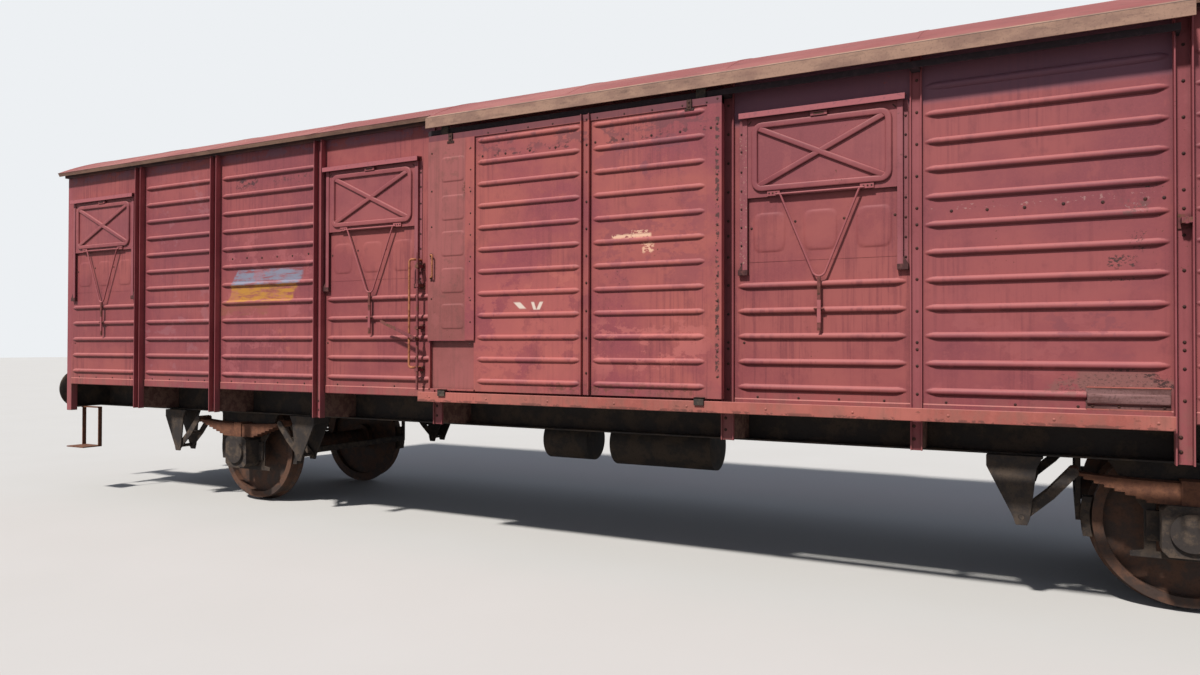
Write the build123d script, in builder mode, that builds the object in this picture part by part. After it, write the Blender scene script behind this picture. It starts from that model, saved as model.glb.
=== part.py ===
from build123d import *
import os
from collections import namedtuple
from math import atan2, sin, sqrt

# Long covered goods wagon on two axles, with one sliding door and four vents a side.
# Millimetres. +X runs along the wagon, +Z points up and the near side faces -Y.
# The origin is under the wagon's middle, level with the lowest points of the wheel flanges.
# The far side is the near side turned half round about Z, as on the real wagon.

# Running gear
flange_depth = 28
flange_tip = 10
flange_root = 36
wheel_radius = 500
wheelbase = 8000
wheel_back = 680
wheel_width = 135
tread_fall = 3
rim_thickness = 62
web_thickness = 26
web_dish = 20
hub_radius = 132
hub_length = 180
hub_recess = 10
wheel_seat_radius = 92
axle_radius = 82
journal_radius = 60
journal_centre = 1000
axle_half_length = 1082
bearing_clearance = 0.4

# Body
body_length = 12780
inner_width = 2600
wall_thickness = 70
end_wall_thickness = 60
end_post_width = 90
end_post_rise = 70
end_post_y = 440
end_post_over_wall = 200
corner_post_width = 80
corner_post_drop = 290
wall_bottom_z = 1170
floor_top_z = 1263
floor_thickness = 45
sheet = 8

# Roof
eave_over_wall = 46
roof_rise = 380
roof_half_width = 1480
roof_thickness = 40
roof_overhang = 15
bow_depth = 50
bow_width = 40
cant_rail_out = 1410

# Underframe
frame_depth = 300
sole_bar_web_y = 925
sole_bar_flange = 115
steel = 12
headstock_width = 90
bearer_depth = 120
bearer_width = 80
centre_sill_y = 300
centre_sill_width = 70
centre_sill_depth = 160
bracket_thickness = 14
post_foot_drop = 220
gusset_toe = 30

# Pressed forms: width at the sheet and at the crest, rise, and how long the ends slope
Form = namedtuple("Form", "foot crest rise run_out")
wall_rib = Form(46, 18, 22, 62)
door_rib = Form(42, 16, 15, 40)
end_rib = Form(46, 20, 22, 40)
rib_first_rise = 147
rib_pitch = 172.3
rib_top_margin = 120
rib_margin = 48
vent_rib_margin = 43
vent_rib_top_gap = 60
leaf_rib_top_gap = 30

# Three shallow embossings under each hatch
boss_width = 220
boss_height = 270
boss_pitch = 343
boss_drop = 239
boss_rise = 5

# Sliding door
door_centre_x = 50
leaf_width = 2515
leaf_bottom_z = 1238
leaf_in = 1460
leaf_thickness = 45
leaf_top_gap = 10
leaf_angle_height = 50
strip_width = 462
strip_bottom_z = 1643
strip_rise = 14
strip_boss = Form(200, 176, 5, 12)
strip_boss_width = 232
strip_boss_left = 134
strip_bosses_z = [1831, 2119, 2414, 2703, 3011]
pocket_depth = 30
pocket_margin = 12
leaf_post_x = 257
leaf_post_width = 72
leaf_post_rise = 34
leaf_flange_width = 104
leaf_flange_rise = 8
leaf_rib_gap = 18
leaf_handle_x = 66
leaf_handle_z = 2240
leaf_handle_height = 200
leaf_handle_bar = 14
leaf_handle_rise = 34
door_opening_width = 2420
door_opening_height = 1952
lintel_height = 225
end_gap = 15

# Door track, hood and lower rail
hood_over_track = 64
hood_drop = 82
hood_lead = 2.5
track_drop = 90
track_depth = 40
track_in = 1476
track_thickness = 16
track_right_inset = 60
roller_radius = 36
roller_clearance = 0.4
hanger_inset = 155
hanger_width = 70
rail_lead = 92.5
rail_drop = 27
rail_depth = 80
rail_out = 1530
shoe_overlap = 30
moving_clearance = 5

# Vent hatches
hatch_shift = 12.5
hatch_half_width = 505.5
hatch_top_drop = 292
hatch_height = 543
hatch_in = 1382
hatch_thickness = 10
hatch_runner = 10
hatch_press_rise = 14
hatch_press_half = 477
hatch_press_margin = 42
press_corner = 30
press_band = 26
press_cross_length = 920
press_cross_lean = 24.5
window_half_width = 440
window_margin_z = 50
window_top_lap = 13
runner_clearance = 0.5
guide_web = 18
guide_lip = 16
guide_lip_thickness = 6
guide_flange = 28
guide_flange_thickness = 5
guide_drop = 527
stop_height = 40
drip_lap = 5
drip_height = 44
drip_fall = 6
drip_out = 1432
drip_overhang = 35
vee_half_width = 260
vee_drop = 621
vee_corner_radius = 45
vee_bar = 14
vee_in = 1398
vee_lap = 10
hinge_half_length = 300
hinge_height = 22
tongue_drop = 905
tongue_width = 22
tongue_pin_drop = 762
tongue_pin_length = 68
tongue_pin_height = 18

# Door lock beside the doorway: rod in its keeps, grab handle and lever
lock_inset = 172
lock_rod = 22
lock_stand_off = 62
lock_bottom_z = 1230
lock_top_z = 2370
lock_keep_width = 48
lock_keep_height = 34
lock_keeps_z = [1380, 1730, 2080, 2240]
grab_offset = 70
grab_bar = 16
grab_arm_right = 60
grab_bottom_z = 1408
grab_top_z = 2322
lever_z = 1640
lever_height = 28
lever_tip_height = 20
lever_reach = 376
lever_rise = 152
lever_gap = 6
lever_thickness = 12
lock_boss = 28
catch_width = 53
catch_height = 30
catch_out = 80
catch_z = 2270

# Axleboxes and guards
box_half_width = 150
box_depth = 190
box_corner = 34
box_cover_radius = 112
box_cover_depth = 24
box_lug_half_width = 215
box_lug_half_height = 90
box_lug_thickness = 14
guard_thickness = 14
guard_clearance = 2
guard_half_width = 430
guard_leg_out = 228
guard_leg_in = 165
guard_stay_half = 300

# Springs
spring_leaf_count = 8
spring_leaf_width = 120
spring_leaf_thickness = 16
spring_leaf_step = 0.72
spring_half_length = 600
spring_eye_radius = 32
spring_seat_rise = 150
spring_camber = 26
buckle_half_length = 52
buckle_wall = 10
shackle_pin_radius = 17
pin_sides = 8
link_thickness = 14
link_width = 60
link_gap = 2
bracket_pin_x = 884
bracket_pin_drop = 379
middle_pin_shift = -16
bracket_half_width = 48
bracket_left_x = 764
bracket_right_x = 1084
bracket_edge = 70
cheek_gap = 6

# Buffers and draw gear
buffer_length = 620
buffer_half_spacing = 875
buffer_height = 1060
buffer_base = 340
buffer_base_thickness = 20
buffer_head_radius = 225
buffer_head_thickness = 22
buffer_case_radius = 118
buffer_case_length = 340
buffer_plunger_radius = 88
hook_height = 1045
hook_plate_width = 300
hook_plate_height = 200
hook_plate_thickness = 24
hook_thickness = 50
hook_eye_radius = 26

# Brake gear
shoe_gap = 8
shoe_thickness = 52
shoe_height = 250
shoe_width = 80
shoe_offset = 44
brake_hanger = 30
brake_beam = 60
tank_gap = 10
strap_width = 50
strap_height = 60

# Steps at the four corners
step_half_width = 150
step_strap = 12
step_in = 1190
step_strap_depth = 40
step_tread_out = 1400
step_z = 480
step_from_end = 205

# Worked out from the driving dimensions
rail_top_z = flange_depth
axle_z = rail_top_z + wheel_radius
half_length = body_length / 2
wall_in = inner_width / 2
wall_out = wall_in + wall_thickness
door_opening_top_z = floor_top_z + door_opening_height
wall_top_z = door_opening_top_z + lintel_height
wall_height = wall_top_z - wall_bottom_z
foot_bottom_z = wall_bottom_z - post_foot_drop
floor_bottom_z = floor_top_z - floor_thickness
frame_bottom_z = floor_bottom_z - frame_depth
bearer_bottom_z = floor_bottom_z - bearer_depth
sill_bottom_z = bearer_bottom_z - centre_sill_depth
sole_bar_out = sole_bar_web_y + sole_bar_flange
roof_eave_z = wall_top_z + eave_over_wall
roof_crown_z = roof_eave_z + roof_rise
roof_radius = (roof_half_width**2 + roof_rise**2) / (2 * roof_rise)
roof_centre_z = roof_crown_z - roof_radius
roof_inner_radius = roof_radius - roof_thickness
hood_out = track_in + track_thickness + hood_over_track
hood_bottom_z = wall_top_z - hood_drop
track_top_z = wall_top_z - track_drop
track_bottom_z = track_top_z - track_depth
leaf_out = leaf_in + leaf_thickness
leaf_top_z = track_bottom_z - leaf_top_gap
leaf_left_x = door_centre_x - leaf_width / 2
leaf_right_x = door_centre_x + leaf_width / 2
hood_left_x = leaf_left_x - hood_lead
rail_left_x = leaf_left_x - rail_lead
rail_bottom_z = wall_bottom_z - rail_drop
hatch_top_z = wall_top_z - hatch_top_drop
hatch_bottom_z = hatch_top_z - hatch_height
guide_bottom_z = hatch_bottom_z - guide_drop
boss_z = hatch_bottom_z - boss_drop
vee_corner_z = hatch_bottom_z - vee_drop
tongue_bottom_z = hatch_bottom_z - tongue_drop
tongue_pin_z = hatch_bottom_z - tongue_pin_drop
window_bottom_z = hatch_bottom_z + window_margin_z
window_top_z = hatch_top_z - window_margin_z - window_top_lap
buffer_z = rail_top_z + buffer_height
hook_z = rail_top_z + hook_height
rib_count = int((wall_height - rib_first_rise - rib_top_margin) / rib_pitch) + 1
rib_rows = [wall_bottom_z + rib_first_rise + rib_pitch * row for row in range(rib_count)]
vent_rows = [z for z in rib_rows if z < guide_bottom_z - vent_rib_top_gap]
spring_seat_z = axle_z + spring_seat_rise
spring_depth = spring_leaf_count * spring_leaf_thickness
eye_z = spring_seat_z + spring_depth + spring_camber
bracket_pin_z = frame_bottom_z - bracket_pin_drop

# Uprights of one side, left to right: centre x, width, and how far the channel's legs stand out
Upright = namedtuple("Upright", "x width leg")
door_post_width = 90
door_post_leg = 24
uprights = [
    Upright(-5090, 90, 60),
    Upright(-3930, 90, 60),
    Upright(-2540, 95, 60),
    Upright(door_centre_x - (door_opening_width + door_post_width) / 2, door_post_width, door_post_leg),
    Upright(door_centre_x + (door_opening_width + door_post_width) / 2, door_post_width, door_post_leg),
    Upright(2540, 70, 24),
    Upright(3930, 90, 80),
    Upright(5090, 90, 60),
]
stop_post = uprights[6]
edges = [-half_length + corner_post_width]
for post in uprights:
    edges += [post.x - post.width / 2, post.x + post.width / 2]
edges.append(half_length - corner_post_width)

# Bays of one side, left to right: left edge, right edge, and the hatch's centre in a vent bay
Bay = namedtuple("Bay", "left right hatch_x")
spans = [(edges[start], edges[start + 1]) for start in range(0, len(edges), 2)]
middles = [(left + right) / 2 for left, right in spans]
inner_hatch_x = middles[5] + hatch_shift
hatches_x = {0: middles[0], 3: -inner_hatch_x, 5: inner_hatch_x, 8: middles[8]}
bays = [Bay(*span, hatches_x.get(index)) for index, span in enumerate(spans)]
vent_bays = [bays[index] for index in hatches_x]
plain_bays = [bays[index] for index in (1, 2, 6, 7)]
door_bay = bays[4]
door_travel = stop_post.x - stop_post.width / 2 - end_gap - leaf_right_x
hatch_travel = hatch_bottom_z - guide_bottom_z - stop_height - moving_clearance
vee_lean = atan2(vee_half_width, hatch_bottom_z - vee_corner_z)
vee_apex_z = vee_corner_z + vee_corner_radius / sin(vee_lean) - vee_corner_radius
sides = [("near", 0), ("far", 180)]
ends = [("a", -1), ("b", 1)]
axles_x = [-wheelbase / 2, wheelbase / 2]
corners = [(x, turn) for x in axles_x for side, turn in sides]

os.makedirs("parts", exist_ok=True)
print("door travel", door_travel, "hatch travel", hatch_travel)


def near(out):
    """The upright plane that lies this far out on the near side, seen from outside."""
    return Plane(origin=(0, -out, 0), x_dir=(1, 0, 0), z_dir=(0, -1, 0))


def across(x):
    """The plane square to the wagon's length at x, with local x along +Y and y up."""
    return Plane(origin=(x, 0, 0), x_dir=(0, 1, 0), z_dir=(1, 0, 0))


def slab(x_range, out_range, z_range):
    """A plain bar or plate of the near side, given by its ranges of x, distance out and z."""
    with BuildPart() as piece:
        with BuildSketch(near(out_range[0])):
            with Locations(((x_range[0] + x_range[1]) / 2, (z_range[0] + z_range[1]) / 2)):
                Rectangle(x_range[1] - x_range[0], z_range[1] - z_range[0])
        extrude(amount=out_range[1] - out_range[0])
    return piece.part


def pressed(length, form):
    """A form pressed out of a sheet, on the plane y = 0, with sloping sides and longer sloping ends."""
    with BuildPart() as piece:
        with BuildSketch(Plane.XY):
            with BuildLine():
                Polyline(
                    (-length / 2, 0), (length / 2, 0), (length / 2 - form.run_out, -form.rise),
                    (-length / 2 + form.run_out, -form.rise), close=True,
                )
            make_face()
        extrude(amount=form.foot / 2, both=True)
        with BuildSketch(across(-length / 2)):
            with BuildLine():
                Polyline(
                    (0, -form.foot / 2), (0, form.foot / 2), (-form.rise, form.crest / 2),
                    (-form.rise, -form.crest / 2), close=True,
                )
            make_face()
        extrude(amount=length, mode=Mode.INTERSECT)
    return piece.part


def at_corner(x, turn):
    """Where a piece made for the near side of an axle at x = 0 goes."""
    return Location((x, 0, 0)) * Location((0, 0, 0), (0, 0, turn))


# Floor and underframe

with BuildPart() as floor_deck:
    with BuildSketch(Plane.XY.offset(floor_bottom_z)):
        Rectangle(body_length - 2 * end_wall_thickness, inner_width)
    extrude(amount=floor_thickness)
floor_deck.part.label = "floor_deck"
export_step(floor_deck.part, "parts/floor_deck.step")

with BuildPart() as sole_bars:
    with BuildSketch(across(-half_length + headstock_width)):
        for sign in (-1, 1):
            with Locations((sign * (sole_bar_web_y + sole_bar_flange / 2), floor_bottom_z - frame_depth / 2)):
                Rectangle(sole_bar_flange, frame_depth)
            with Locations((sign * (sole_bar_web_y + steel + sole_bar_flange / 2), floor_bottom_z - frame_depth / 2)):
                Rectangle(sole_bar_flange, frame_depth - 2 * steel, mode=Mode.SUBTRACT)
    extrude(amount=body_length - 2 * headstock_width)
sole_bars.part.label = "sole_bars"
export_step(sole_bars.part, "parts/sole_bars.step")

with BuildPart() as headstocks:
    with BuildSketch(Plane.XZ.offset(-wall_in)):
        for label, sign in ends:
            with Locations((sign * (half_length - headstock_width / 2), floor_bottom_z - frame_depth / 2)):
                Rectangle(headstock_width, frame_depth)
            with Locations((sign * (half_length - steel - headstock_width / 2), floor_bottom_z - frame_depth / 2)):
                Rectangle(headstock_width, frame_depth - 2 * steel, mode=Mode.SUBTRACT)
    extrude(amount=inner_width)
headstocks.part.label = "headstocks"
export_step(headstocks.part, "parts/headstocks.step")

# Cross bearers lie between the sole bars: four about each axle, clear of its wheels, and two amidships
bearers_from_axle = [-1600, -620, 620, 1800]
middle_bearer_x = 750
bearers_x = [-middle_bearer_x, middle_bearer_x]
for sign in (-1, 1):
    bearers_x += [sign * (wheelbase / 2 - offset) for offset in bearers_from_axle]
with BuildPart() as cross_bearers:
    with BuildSketch(Plane.XZ.offset(-sole_bar_web_y)):
        with Locations(*[(x, floor_bottom_z - bearer_depth / 2) for x in bearers_x]):
            Rectangle(bearer_width, bearer_depth)
        with Locations(*[(x + steel, floor_bottom_z - bearer_depth / 2) for x in bearers_x]):
            Rectangle(bearer_width, bearer_depth - 2 * steel, mode=Mode.SUBTRACT)
    extrude(amount=2 * sole_bar_web_y)
cross_bearers.part.label = "cross_bearers"
export_step(cross_bearers.part, "parts/cross_bearers.step")

with BuildPart() as centre_sills:
    with BuildSketch(across(-half_length + steel)):
        for sign in (-1, 1):
            with Locations((sign * centre_sill_y, bearer_bottom_z - centre_sill_depth / 2)):
                Rectangle(centre_sill_width, centre_sill_depth)
            with Locations((sign * (centre_sill_y + steel), bearer_bottom_z - centre_sill_depth / 2)):
                Rectangle(centre_sill_width, centre_sill_depth - 2 * steel, mode=Mode.SUBTRACT)
    extrude(amount=body_length - 2 * steel)
centre_sills.part.label = "centre_sills"
export_step(centre_sills.part, "parts/centre_sills.step")

# Gusset plates carry the wall posts from the sole bars
with BuildPart() as gusset:
    with BuildSketch(across(-bracket_thickness / 2)):
        with BuildLine():
            Polyline(
                (-sole_bar_web_y - steel, frame_bottom_z + steel),
                (-sole_bar_web_y - steel, floor_bottom_z - steel),
                (-sole_bar_out, floor_bottom_z - steel),
                (-sole_bar_out, floor_bottom_z),
                (-wall_in, floor_bottom_z),
                (-wall_in, wall_bottom_z),
                (-wall_out, wall_bottom_z),
                (-wall_out, foot_bottom_z + gusset_toe / 3),
                (-wall_out + gusset_toe, foot_bottom_z + gusset_toe / 3),
                (-sole_bar_out, frame_bottom_z + steel),
                close=True,
            )
        make_face()
    extrude(amount=bracket_thickness)
with BuildPart() as post_gussets:
    for side, turn in sides:
        with Locations(*[Location((0, 0, 0), (0, 0, turn)) * Location((post.x, 0, 0)) for post in uprights]):
            add(gusset.part)
post_gussets.part.label = "post_gussets"
export_step(post_gussets.part, "parts/post_gussets.step")

# Side walls: each panel is as thick as the whole wall, with its sheet's ribs pressed outwards

wall_middle_z = (wall_bottom_z + wall_top_z) / 2
boss = pressed(boss_width, Form(boss_height, boss_height - 2 * boss_rise, boss_rise, boss_rise))
for side, turn in sides:
    with BuildPart() as plain_panels:
        with BuildSketch(near(wall_in)):
            for bay in plain_bays:
                with Locations(((bay.left + bay.right) / 2, wall_middle_z)):
                    Rectangle(bay.right - bay.left, wall_height)
        extrude(amount=wall_thickness)
        for bay in plain_bays:
            rib = pressed(bay.right - bay.left - 2 * rib_margin, wall_rib)
            with Locations(*[((bay.left + bay.right) / 2, -wall_out, z) for z in rib_rows]):
                add(rib)
    with BuildPart() as placed_panels:
        add(plain_panels.part, rotation=(0, 0, turn))
    placed_panels.part.label = f"plain_panels_{side}"
    export_step(placed_panels.part, f"parts/plain_panels_{side}.step")

    with BuildPart() as vent_panels:
        with BuildSketch(near(wall_in)):
            for bay in vent_bays:
                with Locations(((bay.left + bay.right) / 2, wall_middle_z)):
                    Rectangle(bay.right - bay.left, wall_height)
                with Locations((bay.hatch_x, (window_bottom_z + window_top_z) / 2)):
                    Rectangle(2 * window_half_width, window_top_z - window_bottom_z, mode=Mode.SUBTRACT)
        extrude(amount=wall_thickness)
        for bay in vent_bays:
            rib = pressed(bay.right - bay.left - 2 * vent_rib_margin, wall_rib)
            with Locations(*[((bay.left + bay.right) / 2, -wall_out, z) for z in vent_rows]):
                add(rib)
            with Locations(*[(bay.hatch_x + step * boss_pitch, -wall_out, boss_z) for step in (-1, 0, 1)]):
                add(boss)
    with BuildPart() as placed_panels:
        add(vent_panels.part, rotation=(0, 0, turn))
    placed_panels.part.label = f"vent_panels_{side}"
    export_step(placed_panels.part, f"parts/vent_panels_{side}.step")

    # Posts: a channel open outwards, on a bar that fills the wall between two panels
    with BuildPart() as side_posts:
        with BuildSketch(Plane.XY.offset(foot_bottom_z)):
            for post in uprights:
                with Locations((post.x, -wall_out - post.leg / 2)):
                    Rectangle(post.width, post.leg)
                with Locations((post.x, -wall_out - sheet - post.leg / 2)):
                    Rectangle(post.width - 2 * sheet, post.leg, mode=Mode.SUBTRACT)
        extrude(amount=wall_top_z - foot_bottom_z)
        with BuildSketch(Plane.XY.offset(wall_bottom_z)):
            for post in uprights:
                with Locations((post.x, -(wall_in + wall_out) / 2)):
                    Rectangle(post.width, wall_thickness)
        extrude(amount=wall_height)
    with BuildPart() as placed_posts:
        add(side_posts.part, rotation=(0, 0, turn))
    placed_posts.part.label = f"side_posts_{side}"
    export_step(placed_posts.part, f"parts/side_posts_{side}.step")

    # The lintel over the doorway and the sill under it
    with BuildPart() as door_frame:
        for low, high in ((wall_bottom_z, floor_top_z), (door_opening_top_z, wall_top_z)):
            add(slab((door_bay.left, door_bay.right), (wall_in, wall_out), (low, high)))
    with BuildPart() as placed_frame:
        add(door_frame.part, rotation=(0, 0, turn))
    placed_frame.part.label = f"door_frame_{side}"
    export_step(placed_frame.part, f"parts/door_frame_{side}.step")

with BuildPart() as corner_posts:
    with BuildSketch(Plane.XY.offset(wall_bottom_z - corner_post_drop)):
        with GridLocations(body_length - corner_post_width, wall_in + wall_out, 2, 2):
            Rectangle(corner_post_width, wall_thickness)
    extrude(amount=wall_height + corner_post_drop)
corner_posts.part.label = "corner_posts"
export_step(corner_posts.part, "parts/corner_posts.step")

# End walls fill the arch under the roof, with ribs pressed outwards between two stiff posts
end_post_edges = [end_post_y - end_post_width / 2, end_post_y + end_post_width / 2]
end_spans = [
    (-wall_in + rib_margin, -end_post_edges[1] - rib_margin / 2),
    (-end_post_edges[0] + rib_margin / 2, end_post_edges[0] - rib_margin / 2),
    (end_post_edges[1] + rib_margin / 2, wall_in - rib_margin),
]
end_post_top_z = wall_top_z + end_post_over_wall
for label, sign in ends:
    with BuildPart() as end_wall:
        with BuildSketch(across(half_length - end_wall_thickness)):
            with Locations((0, roof_centre_z)):
                Circle(roof_inner_radius)
            with Locations((0, (floor_bottom_z + roof_crown_z) / 2)):
                Rectangle(inner_width, roof_crown_z - floor_bottom_z, mode=Mode.INTERSECT)
        extrude(amount=end_wall_thickness)
        for left, right in end_spans:
            rib = pressed(right - left, end_rib)
            with Locations(*[Location((half_length, (left + right) / 2, z), (0, 0, 90)) for z in rib_rows]):
                add(rib)
        with BuildSketch(across(half_length)):
            with Locations(*[(side * end_post_y, (frame_bottom_z + end_post_top_z) / 2) for side in (-1, 1)]):
                Rectangle(end_post_width, end_post_top_z - frame_bottom_z)
        extrude(amount=end_post_rise)
    with BuildPart() as placed_wall:
        add(end_wall.part, rotation=(0, 0, 0 if sign > 0 else 180))
    placed_wall.part.label = f"end_wall_{label}"
    export_step(placed_wall.part, f"parts/end_wall_{label}.step")

# Roof

roof_height_range = roof_crown_z - wall_top_z
with BuildPart() as roof_skin:
    with BuildSketch(across(-half_length - roof_overhang)):
        with Locations((0, roof_centre_z)):
            Circle(roof_radius)
            Circle(roof_inner_radius, mode=Mode.SUBTRACT)
        with Locations((0, wall_top_z + roof_height_range / 2)):
            Rectangle(2 * roof_half_width, roof_height_range, mode=Mode.INTERSECT)
    extrude(amount=body_length + 2 * roof_overhang)
roof_skin.part.label = "roof_skin"
export_step(roof_skin.part, "parts/roof_skin.step")

with BuildPart() as cant_rails:
    for sign in (-1, 1):
        with BuildSketch(across(-half_length)):
            with Locations((0, roof_centre_z)):
                Circle(roof_inner_radius)
            with Locations((sign * (wall_in + cant_rail_out) / 2, wall_top_z + roof_height_range / 2)):
                Rectangle(cant_rail_out - wall_in, roof_height_range, mode=Mode.INTERSECT)
        extrude(amount=body_length)
cant_rails.part.label = "cant_rails"
export_step(cant_rails.part, "parts/cant_rails.step")

with BuildPart() as roof_bows:
    for post in uprights:
        with BuildSketch(across(post.x - bow_width / 2)):
            with Locations((0, roof_centre_z)):
                Circle(roof_inner_radius)
                Circle(roof_inner_radius - bow_depth, mode=Mode.SUBTRACT)
            with Locations((0, wall_top_z - bow_depth + roof_height_range / 2)):
                Rectangle(inner_width, roof_height_range + 2 * bow_depth, mode=Mode.INTERSECT)
        extrude(amount=bow_width)
roof_bows.part.label = "roof_bows"
export_step(roof_bows.part, "parts/roof_bows.step")

# Sliding doors with their track, hood and lower rail

stop_right_x = stop_post.x + stop_post.width / 2
track_right_x = stop_right_x - track_right_inset
rail_right_x = stop_post.x - stop_post.width / 2 - moving_clearance
shoe_in = rail_out + moving_clearance
shoe_bottom_z = rail_bottom_z + rail_depth - shoe_overlap
hanger_in = track_in + track_thickness + moving_clearance
roller_z = track_top_z + roller_clearance + roller_radius
hangers_x = [leaf_left_x + hanger_inset, leaf_right_x - hanger_inset]
strip_right_x = leaf_left_x + strip_width
strip_top_z = leaf_top_z - leaf_angle_height
leaf_rows = [z for z in rib_rows if z < strip_top_z - leaf_rib_top_gap]
strip_rows = [z for z in strip_bosses_z if z < strip_top_z - strip_boss_width / 2]
leaf_fields = [
    (strip_right_x + leaf_rib_gap, leaf_post_x - leaf_post_width / 2 - leaf_rib_gap),
    (leaf_post_x + leaf_post_width / 2 + leaf_rib_gap, leaf_right_x - leaf_flange_width - leaf_rib_gap),
]
for side, turn in sides:
    # The hood: a sheet that carries the roof's slope on past its edge, bent down over the rollers
    with BuildPart() as door_hood:
        with BuildSketch(across(hood_left_x)):
            with BuildLine():
                Polyline(
                    (-hood_out, hood_bottom_z), (-hood_out, wall_top_z),
                    (-roof_half_width, roof_eave_z), (-roof_half_width, roof_eave_z - sheet),
                    (-hood_out + sheet, wall_top_z - sheet), (-hood_out + sheet, hood_bottom_z), close=True,
                )
            make_face()
        extrude(amount=stop_right_x - hood_left_x)
    with BuildPart() as placed_hood:
        add(door_hood.part, rotation=(0, 0, turn))
    placed_hood.part.label = f"door_hood_{side}"
    export_step(placed_hood.part, f"parts/door_hood_{side}.step")

    with BuildPart() as door_track:
        track_z = (track_bottom_z, track_top_z)
        add(slab((hood_left_x, track_right_x), (track_in, track_in + track_thickness), track_z))
        for post in uprights[3:7]:
            half = post.width / 2 - sheet
            add(slab((post.x - half, min(post.x + half, track_right_x)), (wall_out + sheet, track_in), track_z))
    with BuildPart() as placed_track:
        add(door_track.part, rotation=(0, 0, turn))
    placed_track.part.label = f"door_track_{side}"
    export_step(placed_track.part, f"parts/door_track_{side}.step")

    with BuildPart() as door_rail:
        leg_out = wall_out + door_post_leg
        with BuildSketch(across(rail_left_x)):
            with BuildLine():
                Polyline(
                    (-leg_out, rail_bottom_z), (-rail_out, rail_bottom_z), (-rail_out, rail_bottom_z + rail_depth),
                    (-rail_out + sheet, rail_bottom_z + rail_depth), (-rail_out + sheet, rail_bottom_z + sheet),
                    (-leg_out, rail_bottom_z + sheet), close=True,
                )
            make_face()
        extrude(amount=rail_right_x - rail_left_x)
    with BuildPart() as placed_rail:
        add(door_rail.part, rotation=(0, 0, turn))
    placed_rail.part.label = f"door_rail_{side}"
    export_step(placed_rail.part, f"parts/door_rail_{side}.step")

    with BuildPart() as door_leaf:
        leaf_height = leaf_top_z - leaf_bottom_z
        with BuildSketch(near(leaf_in)):
            with Locations(((leaf_left_x + leaf_right_x) / 2, leaf_bottom_z + leaf_height / 2)):
                Rectangle(leaf_width, leaf_height)
        extrude(amount=leaf_thickness)
        # A shallow pocket at the foot of the leading edge
        with BuildSketch(near(leaf_out - pocket_depth)):
            pocket_height = strip_bottom_z - leaf_bottom_z - 2 * pocket_margin
            with Locations((leaf_left_x + strip_width / 2, leaf_bottom_z + pocket_margin + pocket_height / 2)):
                Rectangle(strip_width - 2 * pocket_margin, pocket_height)
        extrude(amount=pocket_depth, mode=Mode.SUBTRACT)
        # The proud strip along the leading edge, with its five shallow embossings
        add(slab((leaf_left_x, strip_right_x), (leaf_out, leaf_out + strip_rise), (strip_bottom_z, strip_top_z)))
        strip_face = leaf_out + strip_rise
        strip_boss_x = leaf_left_x + strip_boss_left + strip_boss_width / 2
        with Locations(*[(strip_boss_x, -strip_face, z) for z in strip_rows]):
            add(pressed(strip_boss_width, strip_boss))
        # Top angle, two outward legs of the middle post, and the flange along the other edge
        add(slab((leaf_left_x, leaf_right_x), (leaf_out, leaf_out + sheet), (strip_top_z, leaf_top_z)))
        for edge in (leaf_post_x - leaf_post_width / 2, leaf_post_x + leaf_post_width / 2 - sheet):
            add(slab((edge, edge + sheet), (leaf_out, leaf_out + leaf_post_rise), (leaf_bottom_z, leaf_top_z)))
        flange_x = (leaf_right_x - leaf_flange_width, leaf_right_x)
        add(slab(flange_x, (leaf_out, leaf_out + leaf_flange_rise), (leaf_bottom_z, strip_top_z)))
        for left, right in leaf_fields:
            with Locations(*[((left + right) / 2, -leaf_out, z) for z in leaf_rows]):
                add(pressed(right - left, door_rib))
        # Hangers run on the track above, and guide shoes hold the foot behind the lower rail
        for x in hangers_x:
            width = (x - hanger_width / 2, x + hanger_width / 2)
            add(slab(width, (hanger_in, leaf_out), (leaf_top_z, track_top_z + 2 * roller_radius)))
            with BuildSketch(near(track_in)):
                with Locations((x, roller_z)):
                    Circle(roller_radius)
            extrude(amount=hanger_in - track_in)
            add(slab(width, (leaf_out, shoe_in + sheet), (leaf_bottom_z, leaf_bottom_z + sheet)))
            add(slab(width, (shoe_in, shoe_in + sheet), (shoe_bottom_z, leaf_bottom_z + sheet)))
    with BuildPart() as placed_leaf:
        add(door_leaf.part, rotation=(0, 0, turn))
    placed_leaf.part.label = f"door_leaf_{side}"
    export_step(placed_leaf.part, f"parts/door_leaf_{side}.step")

    # The bar handle on the strip, on a foot at each end
    with BuildPart() as leaf_handle:
        handle_x = leaf_left_x + leaf_handle_x
        handle_rise = strip_face + leaf_handle_rise
        handle_z = (leaf_handle_z - leaf_handle_height / 2, leaf_handle_z + leaf_handle_height / 2)
        handle_span = (handle_x - leaf_handle_bar / 2, handle_x + leaf_handle_bar / 2)
        add(slab(handle_span, (handle_rise - leaf_handle_bar, handle_rise), handle_z))
        for z in (handle_z[0], handle_z[1] - leaf_handle_bar):
            add(slab(handle_span, (strip_face, handle_rise), (z, z + leaf_handle_bar)))
    with BuildPart() as placed_handle:
        add(leaf_handle.part, rotation=(0, 0, turn))
    placed_handle.part.label = f"door_handle_{side}"
    export_step(placed_handle.part, f"parts/door_handle_{side}.step")

# Vent hatches slide down between guides; a vee of bar and a tongue hang under each

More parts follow.
